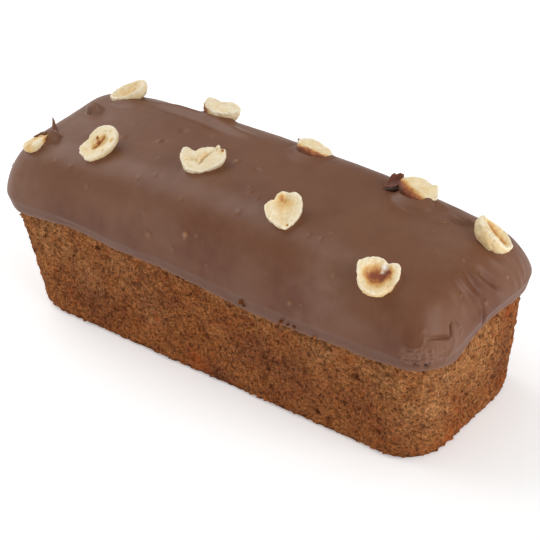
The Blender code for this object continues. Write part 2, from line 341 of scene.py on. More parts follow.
# the sponge
sponge = {
    "levelGap": 0.5,                                   # height between rings of the wall
    "wallTop": 42.6, "calm": (41.6, 42.8),             # top of the wall, and the heights where its crags fade
    "inset": 0.8, "cover": 5.4,                        # how deep its top lies in the chocolate
    # where the other rings lie: base, its rounded edge, and the hidden walls and top
    "baseRings": (1, 0.82, 0.62, 0.42, 0.24, 0.12, 0.05, 0.02),
    "edgeRings": (0, 0.18, 0.36, 0.54, 0.72, 0.88),
    "hiddenWalls": (43.6, 47), "hiddenTop": (0.06, 0.16, 0.34, 0.62, 1),
    "cragDepth": 0.9, "cragSize": 6.5,
    "lumpDepth": 0.28, "lumpSize": 2.4,
    "grainDepth": 0.32, "grainSize": 1.3,
    "streakDepth": 0.16, "streakSize": 1.7,            # upright marks of the tin, strongest on the ends
    "endWall": (80, 86), "endStreaks": (0.35, 0.65),   # where the ends begin; streaks on the sides, and more
    "footDepth": 1, "footLoss": 0.3, "footSize": 1.8,  # ragged bottom edge
    "pores": 1200, "poreDepth": (0.25, 0.8), "poreRadius": (0.2, 0.7), "poreRows": (8, 90),
    "poreHeights": (0.6, 42.2), "poreScatter": 0.1, "poreSmallness": 2.2, "mostBeside": 2,
    "pitSize": 1.5, "pitDepth": 0.4, "pitShare": (0.16, 0.62), "crackRaggedness": 1.4,
    "seed": 11,
    # deeper pits: x, y, z, radius, depth
    "pits": (
        (17.2, -29.7, 38.3, 1.3, 1.1), (15.9, -29.7, 37.4, 0.9, 0.8), (45.5, -29.6, 35.9, 0.9, 0.8),
        (34.3, -29.7, 36.6, 0.8, 0.7), (51.3, -29.6, 34.6, 1, 0.9), (72.8, -29.6, 33.7, 1.1, 0.9),
        (43.8, -29.2, 6.7, 1.2, 0.9), (67.5, -29.2, 9, 1.2, 0.9), (-45.7, -29.7, 36.4, 1.1, 0.7),
        (-60.5, -29.6, 31.6, 0.9, 0.6), (-31, -29.4, 22.8, 0.9, 0.6), (61, -29.4, 27.5, 1.1, 0.9),
        (55, -29.3, 20.4, 0.9, 0.8), (70.5, -29.4, 24.8, 1, 0.8), (30.2, -29.3, 28, 0.9, 0.7),
        (87.5, 11.9, 34.4, 1, 0.8), (87.9, -5.2, 37.2, 0.8, 0.7), (85.4, 13.2, 15.5, 1.2, 0.8),
        (-12, -29.3, 13.4, 1.1, 0.8), (4.8, -29.4, 26.5, 1, 0.8), (25.6, -29.2, 8.4, 1.1, 0.8),
    ),
    # cracks and dents: points, width, depth
    "cracks": (
        (((20.3, -29.4, 28.7), (21.9, -29.4, 23.9), (24, -29.4, 19.5), (24.6, -29.4, 13.8),
          (20.8, -29.4, 8.1)), 1, 0.55),
        (((-6.2, -29.4, 24), (-2.5, -29.4, 23.1), (-0.2, -29.4, 20.4)), 0.9, 0.4),
        (((46.4, -29.4, 23.5), (49.4, -29.4, 21.6), (50.7, -29.4, 17.5)), 0.9, 0.4),
        (((-34, 29.4, 34), (-31, 29.4, 25), (-33, 29.2, 17)), 1, 0.5),
        (((38, 29.4, 30), (42, 29.4, 24), (41, 29.3, 16)), 0.9, 0.45),
        (((-86.5, 4, 30), (-86, 7, 22), (-85.5, 6, 15)), 0.9, 0.45),
    ),
    # crumbs that stand out: x, y, z, radius, height
    "crumbs": (
        (-85.2, -25.8, 33, 1.3, 1.2), (-57.6, -29.1, 1.6, 1, 1), (66, -29.1, 1.8, 1.2, 1),
        (70.2, -29.1, 1.4, 0.9, 0.8), (75.6, -29.2, 1.6, 1.5, 1.3), (78.8, -28.7, 2.6, 1, 0.7),
        (-82.4, -26.6, 16, 0.9, 0.6), (85.9, 27.6, 24, 1.1, 0.9), (83.4, 26, 8, 1.1, 0.8),
        (-20.3, 29.3, 2, 1.1, 0.9), (33, 29.3, 1.7, 1.2, 1), (-84.6, 4.4, 1.8, 1.1, 0.9),
        (18.5, -29.9, 40.4, 1.4, 3.2), (19.6, -29.9, 39.5, 1.1, 2.5), (34.6, -29.9, 39.2, 1.4, 3.1),
        (37, -29.9, 39.1, 1.2, 2.9), (39.5, -29.9, 39.2, 1.4, 3), (41.6, -29.9, 38.7, 1.1, 2.6),
        (47.3, -29.9, 38.3, 1.3, 2.9), (-13, -30, 40.8, 0.9, 1.8), (-19.9, -30, 40.5, 0.8, 1.8),
    ),
    # patches of other colour: x, y, z, radius, strength
    "golden": (
        (-70, -29.6, 35, 12, 0.8), (-53, -29.4, 22.3, 9, 0.7), (-61, -29.6, 30, 9, 0.6),
        (-36, -29.6, 33, 10, 0.5), (48, -29.6, 32, 11, 0.5), (70.9, -29.6, 31.5, 10, 0.7),
        (87.2, -18.9, 31.8, 9, 1), (87, -9.7, 30.4, 9, 0.9), (84.6, -24, 20, 11, 0.8),
        (86, 2, 22, 10, 0.6), (86.3, 0, 33, 9, 0.8), (-22.9, -29.4, 17.3, 4, 0.9),
    ),
    "dusky": (
        (3.1, -29.2, 2.8, 6, 1), (21.9, -29.4, 23.9, 6, 0.6), (18.6, -29.8, 40.2, 2.6, 1),
        (36.4, -29.8, 39.2, 3, 0.9), (40.6, -29.8, 39, 2.6, 0.8),
        (-23.7, -29.5, 23.6, 10, 0.5), (-52, -29.3, 12, 12, 0.5), (18.7, -29.4, 20.5, 10, 0.6),
        (34.5, -29.3, 15.2, 12, 0.6), (85, 13.2, 15.5, 6, 0.9), (85.8, 15.8, 26, 5, 0.7),
        (77.3, -29.3, 12, 9, 0.4), (86.9, 14, 35.3, 4, 0.7), (62, -29.3, 14, 10, 0.4),
    ),
    "orange": (
        (-6.5, -29.2, 5.8, 3.4, 0.9), (-2.6, -29.2, 4.4, 2.4, 0.7), (-85, -24.8, 27, 3, 0.7),
        (-22.4, -29.4, 16.6, 1.7, 1), (87.5, 15.9, 35.3, 2.6, 0.9), (84.5, 17.4, 6.4, 2.2, 0.7),
        (84.4, -13, 4, 3.6, 0.6), (58.2, -29.4, 33.4, 1.6, 0.8), (85.9, 24.4, 20, 2.2, 0.7),
    ),
    # the darkest tone here is painted shade, laid in the pores, pits, cracks and gaps between crumbs
    "tones": {
        "base": (160, 94, 46), "warm": (180, 114, 62), "deep": (112, 56, 28), "poreDentAndShade": (76, 32, 14),
        "golden": (192, 136, 86), "dusky": (118, 66, 44), "orange": (184, 90, 36), "foot": (90, 50, 28),
        "fleck": (206, 146, 84), "russet": (142, 72, 36),
    },
    # tone, value in the mesh or noise (size, detail, roughness, distortion), low, high, strength
    "broadLayers": (
        ("warm", (16, 3), 0.35, 0.68, 1), ("russet", (8.5, 3, 0.6, 0.4), 0.47, 0.66, 0.45),
        ("golden", "golden", 0, 1, 0.85), ("dusky", "dusky", 0, 1, 0.85),
        ("deep", (4.2, 4, 0.65), 0.46, 0.66, 0.6),
    ),
    "fineLayers": (
        ("fleck", (1.1, 2, 0.5, 0.4), 0.63, 0.73, 0.5), ("orange", (2.4, 2, 0.6, 0.6), 0.54, 0.68, 0.35),
        ("orange", "orange", 0, 1, 0.75),
    ),
    # painted shade in the pores, pits and cracks, as deep as they are sunk, then the darker bottom edge
    "lastLayers": (("poreDentAndShade", "poreDentAndShade", 0.3, 1.1, 0.6), ("foot", "foot", 0, 1, 0.6)),
    # noise, its low and high value, and what these two become
    "streaks": ((1.8, 3, 0.6), 0.46, 0.66), "streakStrength": (0.12, 0.5), "streakStretch": (1, 1, 0.22),
    "fine": ((0.9, 5, 0.85), 0.38, 0.62, 0.35, 1.65), "gaps": ((1.3, 5, 0.8, 0.5), 0.56, 0.64),
    "gapStrength": 0.65, "gapDepth": 0.6, "relief": (1, 5, 0.75),
    "dullness": (0.95, 0.82), "gloss": 0.14, "bump": (1, 1),
}


def spongeGrid():
    rounding = loaf["baseRounding"]
    halfLength, halfWidth, radius = wallSize(0.0)
    rings = []
    for share in sponge["baseRings"]:
        inset = rounding + share * (halfWidth - rounding)
        corner = max((radius - rounding) * (1 - share), 0.0)
        flat = roundedRing(halfLength - inset, halfWidth - inset, corner)
        rings.append(np.column_stack([flat, np.zeros(len(flat))]))
    for share in sponge["edgeRings"]:
        angle = share * math.pi / 2
        rings.append(wallRing(rounding * (1 - math.cos(angle)), rounding * (math.sin(angle) - 1)))
    rings += [wallRing(height) for height in np.arange(rounding, sponge["wallTop"], sponge["levelGap"])]
    inset = -sponge["inset"]
    rings += [wallRing(height, inset) for height in sponge["hiddenWalls"]]
    rings += [crownRing(share, inset, sponge["cover"]) for share in sponge["hiddenTop"]]
    return np.array(rings)


def patchValue(points, patches, seed):
    # how strongly each point lies in a patch, with ragged edges
    total = np.zeros(points.shape[:-1])
    for x, y, z, radius, strength in patches:
        away = np.linalg.norm(points - (x, y, z), axis=-1)
        total = np.maximum(total, strength * bell(away, radius))
    return np.clip(total * (1.0 + 0.6 * roughness(points, 4.0, seed, 2)), 0.0, 1.0)


def poreSpots(grid):
    # pores scattered evenly over the wall, each ragged by smaller ones beside it, and the deeper pits
    random = np.random.default_rng(sponge["seed"])
    outline = wallRing(20.0)
    steps = np.linalg.norm(np.roll(outline, -1, axis=0) - outline, axis=1)
    low, high = sponge["poreRadius"]
    shallow, deep = sponge["poreDepth"]
    first, last = sponge["poreRows"]
    spots = []
    for _ in range(sponge["pores"]):
        station = random.choice(len(steps), p=steps / steps.sum())
        height = random.uniform(*sponge["poreHeights"])
        row = np.searchsorted(grid[first:last, station, 2], height) + first
        place = grid[row, station] + random.normal(0.0, sponge["poreScatter"], 3)
        radius = low + (high - low) * random.random() ** sponge["poreSmallness"]
        depth = -(shallow + (deep - shallow) * random.random()) * min(1.0, radius / 0.6)
        spots.append((*place, radius, depth))
        for _ in range(random.integers(0, sponge["mostBeside"] + 1)):
            beside = place + random.normal(0.0, 0.75 * radius, 3) * (1.0, 0.4, 0.8)
            spots.append((*beside, radius * random.uniform(0.5, 0.8), depth * 0.8))
    for x, y, z, radius, depth in sponge["pits"]:
        spots.append((x, y, z, radius, -depth))
        spots.append((x + 0.7 * radius, y, z - 0.4 * radius, radius * 0.7, -0.8 * depth))
    return spots


def makeSponge(material):
    grid = spongeGrid()
    height = grid[:, :, 2]
    wall = smoothStep(height, 0.0, 2.0) * (1.0 - smoothStep(height, *sponge["calm"]))
    out = outward(grid)
    out[:, :, 2] *= 0.3                                # mostly sideways, also at the rounded edge
    out /= np.maximum(np.linalg.norm(out, axis=2, keepdims=True), 1e-6)

    crag = [noise.turbulence(Vector(point) / sponge["cragSize"], 2, False) for point in grid.reshape(-1, 3)]
    crag = np.clip(0.5 + 0.5 * np.reshape(crag, height.shape), 0.0, 1.0)
    push = -sponge["cragDepth"] * crag * wall
    push += sponge["lumpDepth"] * roughness(grid, sponge["lumpSize"], 5, 2) * wall
    push += sponge["grainDepth"] * roughness(grid, sponge["grainSize"], 6, 3) * wall
    atEnd = smoothStep(np.abs(grid[:, :, 0]), *sponge["endWall"])
    streak = sponge["streakDepth"] * roughness(grid * (1.0, 1.0, 0.3), sponge["streakSize"], 7, 2)
    onSides, more = sponge["endStreaks"]
    push += streak * wall * (onSides + more * atEnd)

    # the dents of pores, pits and cracks, whose depth is also painted in as shade
    poreDentAndShade = nearSpots(grid, poreSpots(grid)) * wall
    pitted = roughness(grid * (0.8, 0.8, 1.25), sponge["pitSize"], 16, 3)  # irregular holes
    poreDentAndShade -= sponge["pitDepth"] * (smoothStep(pitted, *sponge["pitShare"]) * wall)
    ragged = 1.0 + roughness(grid, sponge["crackRaggedness"], 17, 2)
    for points, width, depth in sponge["cracks"]:
        away, place = alongLine(grid, points)
        poreDentAndShade -= depth * (archTaper(place) * bell(away, width)) * ragged
    crumb = nearSpots(grid, sponge["crumbs"]) * smoothStep(height, 0.0, 0.8)
    crumb *= 1.0 + 0.5 * roughness(grid, 0.8, 8)
    foot = bell(height - 1.2, 1.3) * smoothStep(height, 0.0, 0.6)
    push += foot * (sponge["footDepth"] * roughness(grid, sponge["footSize"], 9, 3) - sponge["footLoss"])
    shaped = grid + out * (push + poreDentAndShade + crumb)[:, :, None]
    under = (1.0 - smoothStep(height, 0.0, 0.3)) * (height < 0.01)             # the base is a little uneven
    shaped[:, :, 2] += under * 0.25 * np.clip(roughness(grid, 3.0, 10, 2), 0.0, 1.0)
    shaped[:, :, 2] = np.maximum(shaped[:, :, 2], 0.0)

    golden = patchValue(grid, sponge["golden"], 12)
    belowEdge = 0.5 * bell(edge - height - 1.0, 2.6) * (1 + roughness(grid, 5.0, 13))
    values = {
        # painted shade, from how deep the pores, pits and cracks are sunk
        "poreDentAndShade": np.clip(-poreDentAndShade / 0.55, 0.0, 1.0),
        "golden": np.clip(np.maximum(golden, belowEdge), 0.0, 1.0),
        "dusky": patchValue(grid, sponge["dusky"], 14),
        "orange": patchValue(grid, sponge["orange"], 15),
        "foot": np.clip(1.0 - height / 1.6, 0.0, 1.0),
        "endWall": atEnd,
    }
    return makeSkin("spongeCrumb", shaped, values, material)


def spongeMaterial():
    material, tree, shader, place, tones = startMaterial("darkSpongeCrumb", sponge["tones"])
    colour = layTones(tree, place, tones["base"], tones, sponge["broadLayers"])
    stretch = {"Vector": place, "Scale": sponge["streakStretch"]}
    tall = put(tree, "ShaderNodeMapping", stretch).outputs["Vector"]
    strength = remap(tree, readValue(tree, "endWall"), 0.0, 1.0, *sponge["streakStrength"])
    streak = calc(tree, "MULTIPLY", speckle(tree, tall, *sponge["streaks"]), strength)
    colour = blendColour(tree, streak, colour, tones["golden"])
    fine = speckle(tree, place, *sponge["fine"])
    colour = blendColour(tree, 1.0, colour, fine, "MULTIPLY")
    colour = layTones(tree, place, colour, tones, sponge["fineLayers"])
    gaps = speckle(tree, place, *sponge["gaps"])       # painted shade in the gaps between crumbs
    gapLayer = ("poreDentAndShade", gaps, 0, 1, sponge["gapStrength"])
    colour = layTones(tree, place, colour, tones, (gapLayer, *sponge["lastLayers"]))
    rough = remap(tree, fine, 0.5, 1.5, *sponge["dullness"])
    sunk = calc(tree, "MULTIPLY", gaps, sponge["gapDepth"])
    relief = calc(tree, "SUBTRACT", grain(tree, place, *sponge["relief"]), sunk)
    finishMaterial(tree, shader, colour, rough, relief, sponge)
    return material


spongePiece = makeSponge(spongeMaterial())
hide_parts("sponge")
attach(spongePiece, "root")
print("sponge made,", len(spongePiece.data.polygons), "faces")


# the hazelnut halves, whose backs lie in the chocolate
hazelnut = {
    "stations": 136, "backLevels": 18, "faceLevels": 58, "faceSpread": 1.4,
    "rimHeight": 1, "bluntness": 0.86, "rimRounding": 0.15,
    "wobble": 0.22, "wobbleSize": 3.2, "skin": 0.13, "skinSize": 0.8, "chips": 0.22, "chipSize": 1.9,
    "tones": {
        "base": (248, 233, 200), "warm": (238, 211, 154), "wall": (228, 200, 142), "paintedRimHighlight": (252, 243, 220),
        "tan": (190, 146, 84), "gold": (230, 190, 122), "orange": (190, 122, 62), "brown": (134, 68, 38),
        "choc": (108, 64, 40), "pale": (238, 234, 228),
    },
    "layers": (
        ("warm", (3.4, 3, 0.55), 0.36, 0.7, 0.8), ("wall", "wall", 0, 1, 0.35),
        # a painted highlight along the inner edge of the rim
        ("paintedRimHighlight", "paintedRimHighlight", 0, 1, 0.7), ("tan", (0.75, 3, 0.6), 0.58, 0.72, 0.42),
    ),
    # how the flesh browns as it roasts
    "roasting": (("gold", 0.08, 0.42), ("orange", 0.38, 0.8), ("brown", 0.7, 1.15), ("choc", 1.3, 1.8)),
    "raggedness": 0.35, "hollowRoast": 0.16,
    "uneven": (1.6, 3, 0.6), "coated": (0.3, 0.75), "relief": (0.8, 4, 0.6),
    "dullness": (0.52, 0.34), "gloss": 0.4, "bump": (0.35, 0.25),
}

# place is the middle of the rim; the face leans from straight up towards a compass angle, and spin turns
# the length from +X. rim is the outline: angle round it, share of the radius. bites dent it: angle,
# spread, share of the radius lost, drop. tilt lowers the rim towards an angle by so many millimetres.
# In the nut's own x and y: bowls are (x, y, half length, half width, turn, depth, power), creases
# (points, width, depth), lumps (x, y, radius, height), and the colours roast, choc and pale on the face
# and stain on the outside (x, y, radius, strength). smear browns one side of the face: angle, where it
# starts, where it is full, strength. creep is how high the chocolate climbs up the nut.
nuts = (
    dict(place=(-69.2, 17.4, 66.3), lean=24, toward=172, spin=49, length=13.4, width=10.2, depth=4.8,
         hollow=0.78, tilt=(-97, 1.4),
         bites=((0, 60, 0, -0.5), (90, 40, 0.06, -0.4), (180, 26, -0.04, 0.2), (150, 26, 0.04, 0.1),
                (-140, 24, 0.03, 0.1)),
         bowls=((0.2, 0.5, 5.2, 4.4, 0, 2.5, 0.9),),
         roast=((0.4, 0.8, 3.6, 0.26),)),
    dict(place=(-77.2, -20.5, 62.7), lean=20, toward=-145, spin=56, length=10.8, width=6.8, depth=2.8,
         hollow=0.62, tilt=(76, 0.5),
         bites=((25, 30, 0.12, 0.6), (180, 30, 0.04, 0.2), (-120, 14, 0.12, 0.3)),
         creep=0.5, bowls=((0, 0.2, 3.6, 2.2, 0, -0.3, 1),),
         lumps=((-2.8, 0.6, 1.5, 0.4), (1.8, -0.8, 1.4, 0.4)),
         roast=((3.2, -0.3, 1.8, 0.75), (0.6, 0.6, 1.4, 0.3), (-2.6, -2.6, 1.4, 0.45), (-4, 1, 1.2, 0.3)),
         stain=((4.6, -1, 2, 0.8), (3, -3, 1.8, 0.45), (-3.6, -2.4, 1.8, 0.4)),
         choc=((5.4, 0.2, 1.3, 1), (4.6, 1.8, 1.3, 1))),
    dict(place=(-50.9, -17.1, 68.6), lean=29, toward=-97, spin=62, length=15.4, width=11, depth=3.8,
         hollow=0.50, tilt=(0, 0),
         rim=((7, 0.97), (26, 1.03), (45, 1.09), (68, 1.14), (88, 1.04), (110, 0.84), (122, 0.90), (135, 1),
              (146, 0.98), (155, 0.90), (161, 0.99), (170, 0.87), (180, 0.90), (186, 0.84), (200, 0.95),
              (222, 0.97), (242, 0.98), (271, 0.96), (301, 1), (332, 0.98)),
         bites=((118, 24, 0, 0.3), (158, 7, 0, 0.4), (172, 6, 0, 0.3)),
         bowls=((0.6, -0.2, 5.4, 3, 4, 0.6, 0.9),),
         creases=((((-2.6, -0.6), (0.2, -0.4), (3.4, 0.7)), 0.5, 1), (((0, 0.9), (0.9, 1.9)), 0.35, 0.4)),
         lumps=((0.6, 1.9, 0.5, 0.35), (-3.4, 1.6, 1.8, 0.3), (-5.4, 2.4, 0.7, 0.3), (-5.8, -0.6, 0.7, 0.25)),
         # the strong spot at 0.8, 1.9, over the raised crumb, is painted shadow of that crumb
         roast=((0.2, -0.4, 1.2, 0.6), (-1.8, -0.5, 1, 0.55), (2.4, 0.3, 1, 0.55), (1, 0.4, 3, 0.2),
                (0.8, 1.9, 0.5, 1.2), (-5, 0.4, 1.6, 0.2), (4.4, -3.2, 1, 0.4))),
    dict(place=(-30.3, 21.6, 69.5), lean=6, toward=112, spin=14, length=13, width=9.2, depth=5.6,
         hollow=0.64, tilt=(-62, 0.4),
         bites=((180, 40, -0.02, -1.9), (100, 34, 0.16, 1.9), (26, 34, 0, 1.9), (-70, 34, 0.02, 0.8),
                (-4, 16, -0.06, 0)),
         bowls=((0.2, -0.6, 5.6, 4.2, 8, -0.5, 0.5),), rounding=0.45,
         roast=((-1.8, 1.2, 2.2, 0.14),), pale=((-3.2, 0, 3.6, 0.2), (3.2, 0, 3.6, 0.16)),
         stain=((-6.6, -2.2, 2.2, 1.2), (-4.8, -4.4, 1.8, 1.2))),
    dict(place=(-12.6, -8.8, 71.3), lean=31, toward=-44, spin=47, length=14.8, width=11, depth=4.6,
         hollow=0.60, tilt=(0, 0),
         rim=((3, 1.02), (20, 1.08), (26, 0.94), (30, 0.86), (34, 1.08), (39, 0.96), (46, 0.80), (58, 0.74),
              (70, 0.70), (84, 0.66), (96, 0.64), (108, 0.58), (118, 0.58), (122, 0.78), (126, 1.06),
              (138, 1.12), (148, 1.08), (160, 1.02), (183, 0.95), (200, 1), (217, 1.04), (240, 1.05),
              (258, 0.99), (274, 0.94), (292, 0.91), (310, 0.93), (340, 1)),
         bites=((116, 12, 0, 0.8), (52, 12, 0, 0.6), (84, 20, 0, 0.6), (30, 5, 0, 0.5), (132, 12, 0, -0.5),
                (36, 5, 0, -0.7), (20, 8, 0, -0.3)),
         bowls=((0.6, 0.4, 4, 2.2, 10, 0.35, 1),),
         creases=((((-6.4, 0.3), (-4.4, 0), (-2.8, -0.5), (-1.5, -2.2)), 0.42, 0.8),
                  (((-1.5, -2.2), (-0.2, -0.5), (1.6, 0.8), (3.9, 2.1)), 0.5, 1),
                  (((4.4, 3.4), (4.6, 2.2), (5, 1)), 0.35, 0.7)),
         lumps=((-3.4, 1.6, 2, 0.5), (2.4, -2.2, 2.4, 0.6), (-4, -2.4, 1.7, 0.45), (0.6, 1.8, 1.4, 0.4)),
         pale=((-3.4, 0.6, 3.6, 0.14), (3, -1.6, 4, 0.14)),
         roast=((-0.6, -0.8, 1.1, 0.16), (1.2, 0.9, 1.1, 0.2), (-3.4, -0.3, 0.8, 0.1), (6.6, 1.2, 0.5, 1.2),
                (5.6, 0.4, 1.6, 0.14))),
    dict(place=(11.3, 17.9, 68.5), lean=20, toward=69, spin=2, length=13.2, width=9.8, depth=4.2,
         hollow=0.62, tilt=(-50, 0.7),
         bites=((200, 30, 0.12, 0.4), (34, 18, -0.06, 0.2), (0, 26, 0.08, 0.4), (75, 30, 0.08, 0.2)),
         creep=0.6,
         bowls=((0.4, 0.6, 4.2, 3, 0, 0.7, 1),),
         smear=(-70, -0.1, 0.85, 2)),
    dict(place=(27.4, -17.6, 70.8), lean=38, toward=-46, spin=119, length=12.4, width=12.2, depth=5,
         hollow=0.58, tilt=(0, 0),
         rim=((5, 0.88), (21, 0.92), (32, 0.82), (44, 0.70), (53, 0.66), (60, 0.78), (70, 0.90),
              (93, 0.98), (112, 0.95), (130, 0.93), (149, 0.94), (170, 0.97), (190, 1.12), (208, 1),
              (228, 0.91), (251, 0.92), (283, 0.96), (300, 1.05), (311, 1.09), (332, 1.10), (345, 0.91),
              (355, 0.87)),
         bites=((52, 14, 0, 0.9), (0, 12, 0, 0.5)),
         bowls=((0.8, 0.1, 5, 4.6, 0, 1.2, 0.8), (3, 0.6, 2.2, 2.2, 0, 0.5, 1)),
         creases=((((-5.8, -2), (-4.4, -1.7), (-3, -1.3)), 0.3, 0.4),),
         roast=((3.9, 1.2, 1.2, 0.5), (3, 0.9, 1.7, 0.2), (2.4, -1.8, 1.9, 0.26), (1, 1, 2.6, 0.16),
                (-5.3, -1.9, 0.4, 1.2))),
    dict(place=(53.7, 16.6, 68), lean=24, toward=46, spin=10, length=13.4, width=10.6, depth=4.6,
         hollow=0.64, tilt=(-70, 1.1),
         bites=((150, 30, 0.08, 0.4), (58, 14, -0.1, -1.1), (16, 16, 0.03, 0.1), (-26, 22, 0.26, 0.3)),
         creep=0.7,
         bowls=((0.6, 0.8, 4.6, 3.2, 0, 0.5, 1),),
         smear=(-108, 0, 0.9, 2.1)),
    dict(place=(67.3, -23.3, 64.3), lean=35, toward=-45, spin=35, length=13.6, width=12.4, depth=4.8,
         hollow=0.62, tilt=(0, 0),
         rim=((8, 0.97), (21, 1.05), (39, 1.08), (48, 0.90), (54, 0.80), (60, 0.78), (78, 0.90),
              (92, 0.95), (112, 1.03), (133, 1.13), (141, 1.18), (149, 1.10), (157, 1.02), (172, 0.97),
              (190, 0.96), (206, 1), (222, 1.05), (247, 1.08), (268, 1.07), (281, 1), (294, 0.94),
              (313, 0.89), (332, 0.86), (356, 0.91)),
         bites=((55, 9, 0, 0.7), (146, 13, 0, -0.3), (94, 18, 0, 0)),
         bowls=((-0.2, 0.2, 4.8, 3.9, 0, 1.7, 0.9),),
         roast=((-0.3, 0.2, 2.9, 1.12), (2.5, 1.4, 1.9, 0.7), (-3.2, 0.8, 1.8, 0.5), (0.4, -4.6, 2.4, 0.2),
                (4, -3, 2, 0.2), (-3.4, -3.6, 2, 0.18)),
         pale=((1.9, 2.9, 0.9, 1), (1.2, 1.4, 0.45, 0.7)),
         stain=((0, -6, 4.6, 0.24), (5, -3.6, 4, 0.24), (-4.6, -4.4, 4, 0.2))),
    dict(place=(83.2, 14.6, 63.6), lean=44, toward=44, spin=14, length=14.2, width=10.2, depth=5.2,
         hollow=0.66, tilt=(-62, 0.7),
         bites=((-16, 18, 0.12, 0.4), (-130, 24, 0.03, 0.1), (-60, 22, 0.04, 0)),
         bowls=((0, 1.5, 5.4, 2.8, -18, 2.3, 0.8),),
         creases=((((-4, 1.4), (-0.2, 0.2), (3.8, -1.8)), 0.8, 0.3),),
         roast=((-3.8, 3, 1.3, 0.4), (-2.5, 3, 1.3, 0.42), (-1.2, 2.8, 1.3, 0.44), (0.1, 2.5, 1.3, 0.44),
                (1.4, 2.2, 1.3, 0.44), (2.7, 1.7, 1.3, 0.42), (4, 1.1, 1.2, 0.4), (-3.2, -3.6, 0.8, 0.25),
                (-2, -3, 2.2, 0.14), (2.4, -3.4, 2.2, 0.14)),
         stain=((-3, -5, 4.6, 0.2), (3.6, -4.6, 4.6, 0.16))),
)


def rimShape(nut, angle):
    # the rim's reach as a share of its ellipse, and how far it drops
    share = np.ones_like(angle)
    drop = np.zeros_like(angle)
    if "rim" in nut:
        around, reach = zip(*nut["rim"])
        turned = [np.degrees(angle) + shift for shift in (-3, -1.5, 0, 1.5, 3)]
        share = sum(np.interp(places, around, reach, period=360) for places in turned) / len(turned)
    for middle, spread, pull, low in nut["bites"]:
        away = np.remainder(angle - math.radians(middle) + math.pi, 2 * math.pi) - math.pi
        weight = bell(away, math.radians(spread))
        share = share - pull * weight
        drop = drop + low * weight
    return share, drop


def nutMatrix(nut):
    toward = Matrix.Rotation(math.radians(nut["toward"]), 4, "Z")
    lean = toward @ Matrix.Rotation(math.radians(nut["lean"]), 4, "Y") @ toward.inverted()
    spin = Matrix.Rotation(math.radians(nut["spin"]), 4, "Z")
    return np.array(Matrix.Translation(Vector(nut["place"])) @ lean @ spin)


def bowlDepth(nut, flat):
    total = np.zeros(flat.shape[:-1])
    for x, y, halfLength, halfWidth, turn, depth, power in nut["bowls"]:
        angle = math.radians(turn)
        along = (flat[..., 0] - x) * math.cos(angle) + (flat[..., 1] - y) * math.sin(angle)
        across = (flat[..., 1] - y) * math.cos(angle) - (flat[..., 0] - x) * math.sin(angle)
        away = (along / halfLength) ** 2 + (across / halfWidth) ** 2
        total += depth * np.exp(-away ** 2 * 1.4 * power) * np.clip(1.35 - 0.35 * away, 0.0, 1.0)
    return total


def spotValue(flat, spots):
    total = np.zeros(flat.shape[:-1])
    for x, y, radius, strength in spots:
        total += strength * bell(np.linalg.norm(flat - (x, y), axis=-1), radius)
    return total


def nutGrid(nut, number):
    # level runs from -1 at the back over 0 at the rim to 1 in the middle of the face
    back = np.linspace(-1.0, 0.0, hazelnut["backLevels"], endpoint=False)
    level = np.concatenate([back, np.linspace(0.0, 1.0, hazelnut["faceLevels"])])
    angle = np.linspace(0.0, 2 * math.pi, hazelnut["stations"], endpoint=False)
    angle, level = np.meshgrid(angle, level)
    share, drop = rimShape(nut, angle)
    up = np.maximum(level, 0.0)
    down = np.minimum(level, 0.0) * math.pi / 2
    out = np.where(level <= 0.0, np.cos(down) ** hazelnut["bluntness"], 1.0 - up ** hazelnut["faceSpread"])
    rounded = np.sin(np.minimum(up / nut.get("rounding", hazelnut["rimRounding"]), 1.0) * math.pi / 2)
    rim = (hazelnut["rimHeight"] - drop * out) * rounded
    height = np.where(level <= 0.0, nut["depth"] * np.sin(down), rim)
    share = 1.0 - (1.0 - share) * out
    grid = np.stack([nut["length"] / 2 * out * share * np.cos(angle),
                     nut["width"] / 2 * out * share * np.sin(angle), height], axis=-1)
    grid[:, :, 2] -= smoothStep(level, 0.0, 0.1) * bowlDepth(nut, grid[:, :, :2])
    middle, low = nut["tilt"]
    grid[:, :, 2] -= low * (out * np.cos(angle - math.radians(middle)) * smoothStep(level, -0.7, 0.1))
    for _ in range(2):                                 # round the kinks where rim and hollow meet
        grid[1:-1] = 0.5 * grid[1:-1] + 0.25 * (grid[:-2] + grid[2:])
    face = smoothStep(level, -0.05, 0.12)
    flat = grid[:, :, :2]
    for points, width, depth in nut.get("creases", ()):
        away, place = alongLine(flat, points)
        taper = archTaper(place) * 0.7 + 0.3
        grid[:, :, 2] -= face * depth * taper * bell(away, width)
        grid[:, :, 2] += face * 0.25 * depth * taper * bell(away - 2 * width, width)   # lifted brinks
    for x, y, radius, rise in nut.get("lumps", ()):
        grid[:, :, 2] += face * rise * bell(np.linalg.norm(flat - (x, y), axis=-1), radius)
    seed = 20 + number
    size = hazelnut["wobbleSize"]
    sway = np.stack([roughness(grid, size, seed + 0.1 * axis, 2) for axis in range(3)], axis=-1)
    grid = grid + hazelnut["wobble"] * sway
    chips = smoothStep(roughness(grid, hazelnut["chipSize"], seed + 0.5, 2), 0.08, 0.5)
    skin = hazelnut["skin"] * roughness(grid, hazelnut["skinSize"], seed, 3) - hazelnut["chips"] * chips
    if "smear" in nut:
        skin = skin * face                             # chocolate evens out the side
    grid = grid + outward(grid) * (skin * smoothStep(out, 0.02, 0.2))[:, :, None]
    grid[0] = grid[0].mean(axis=0)
    grid[-1] = grid[-1].mean(axis=0)
    return grid, level, out


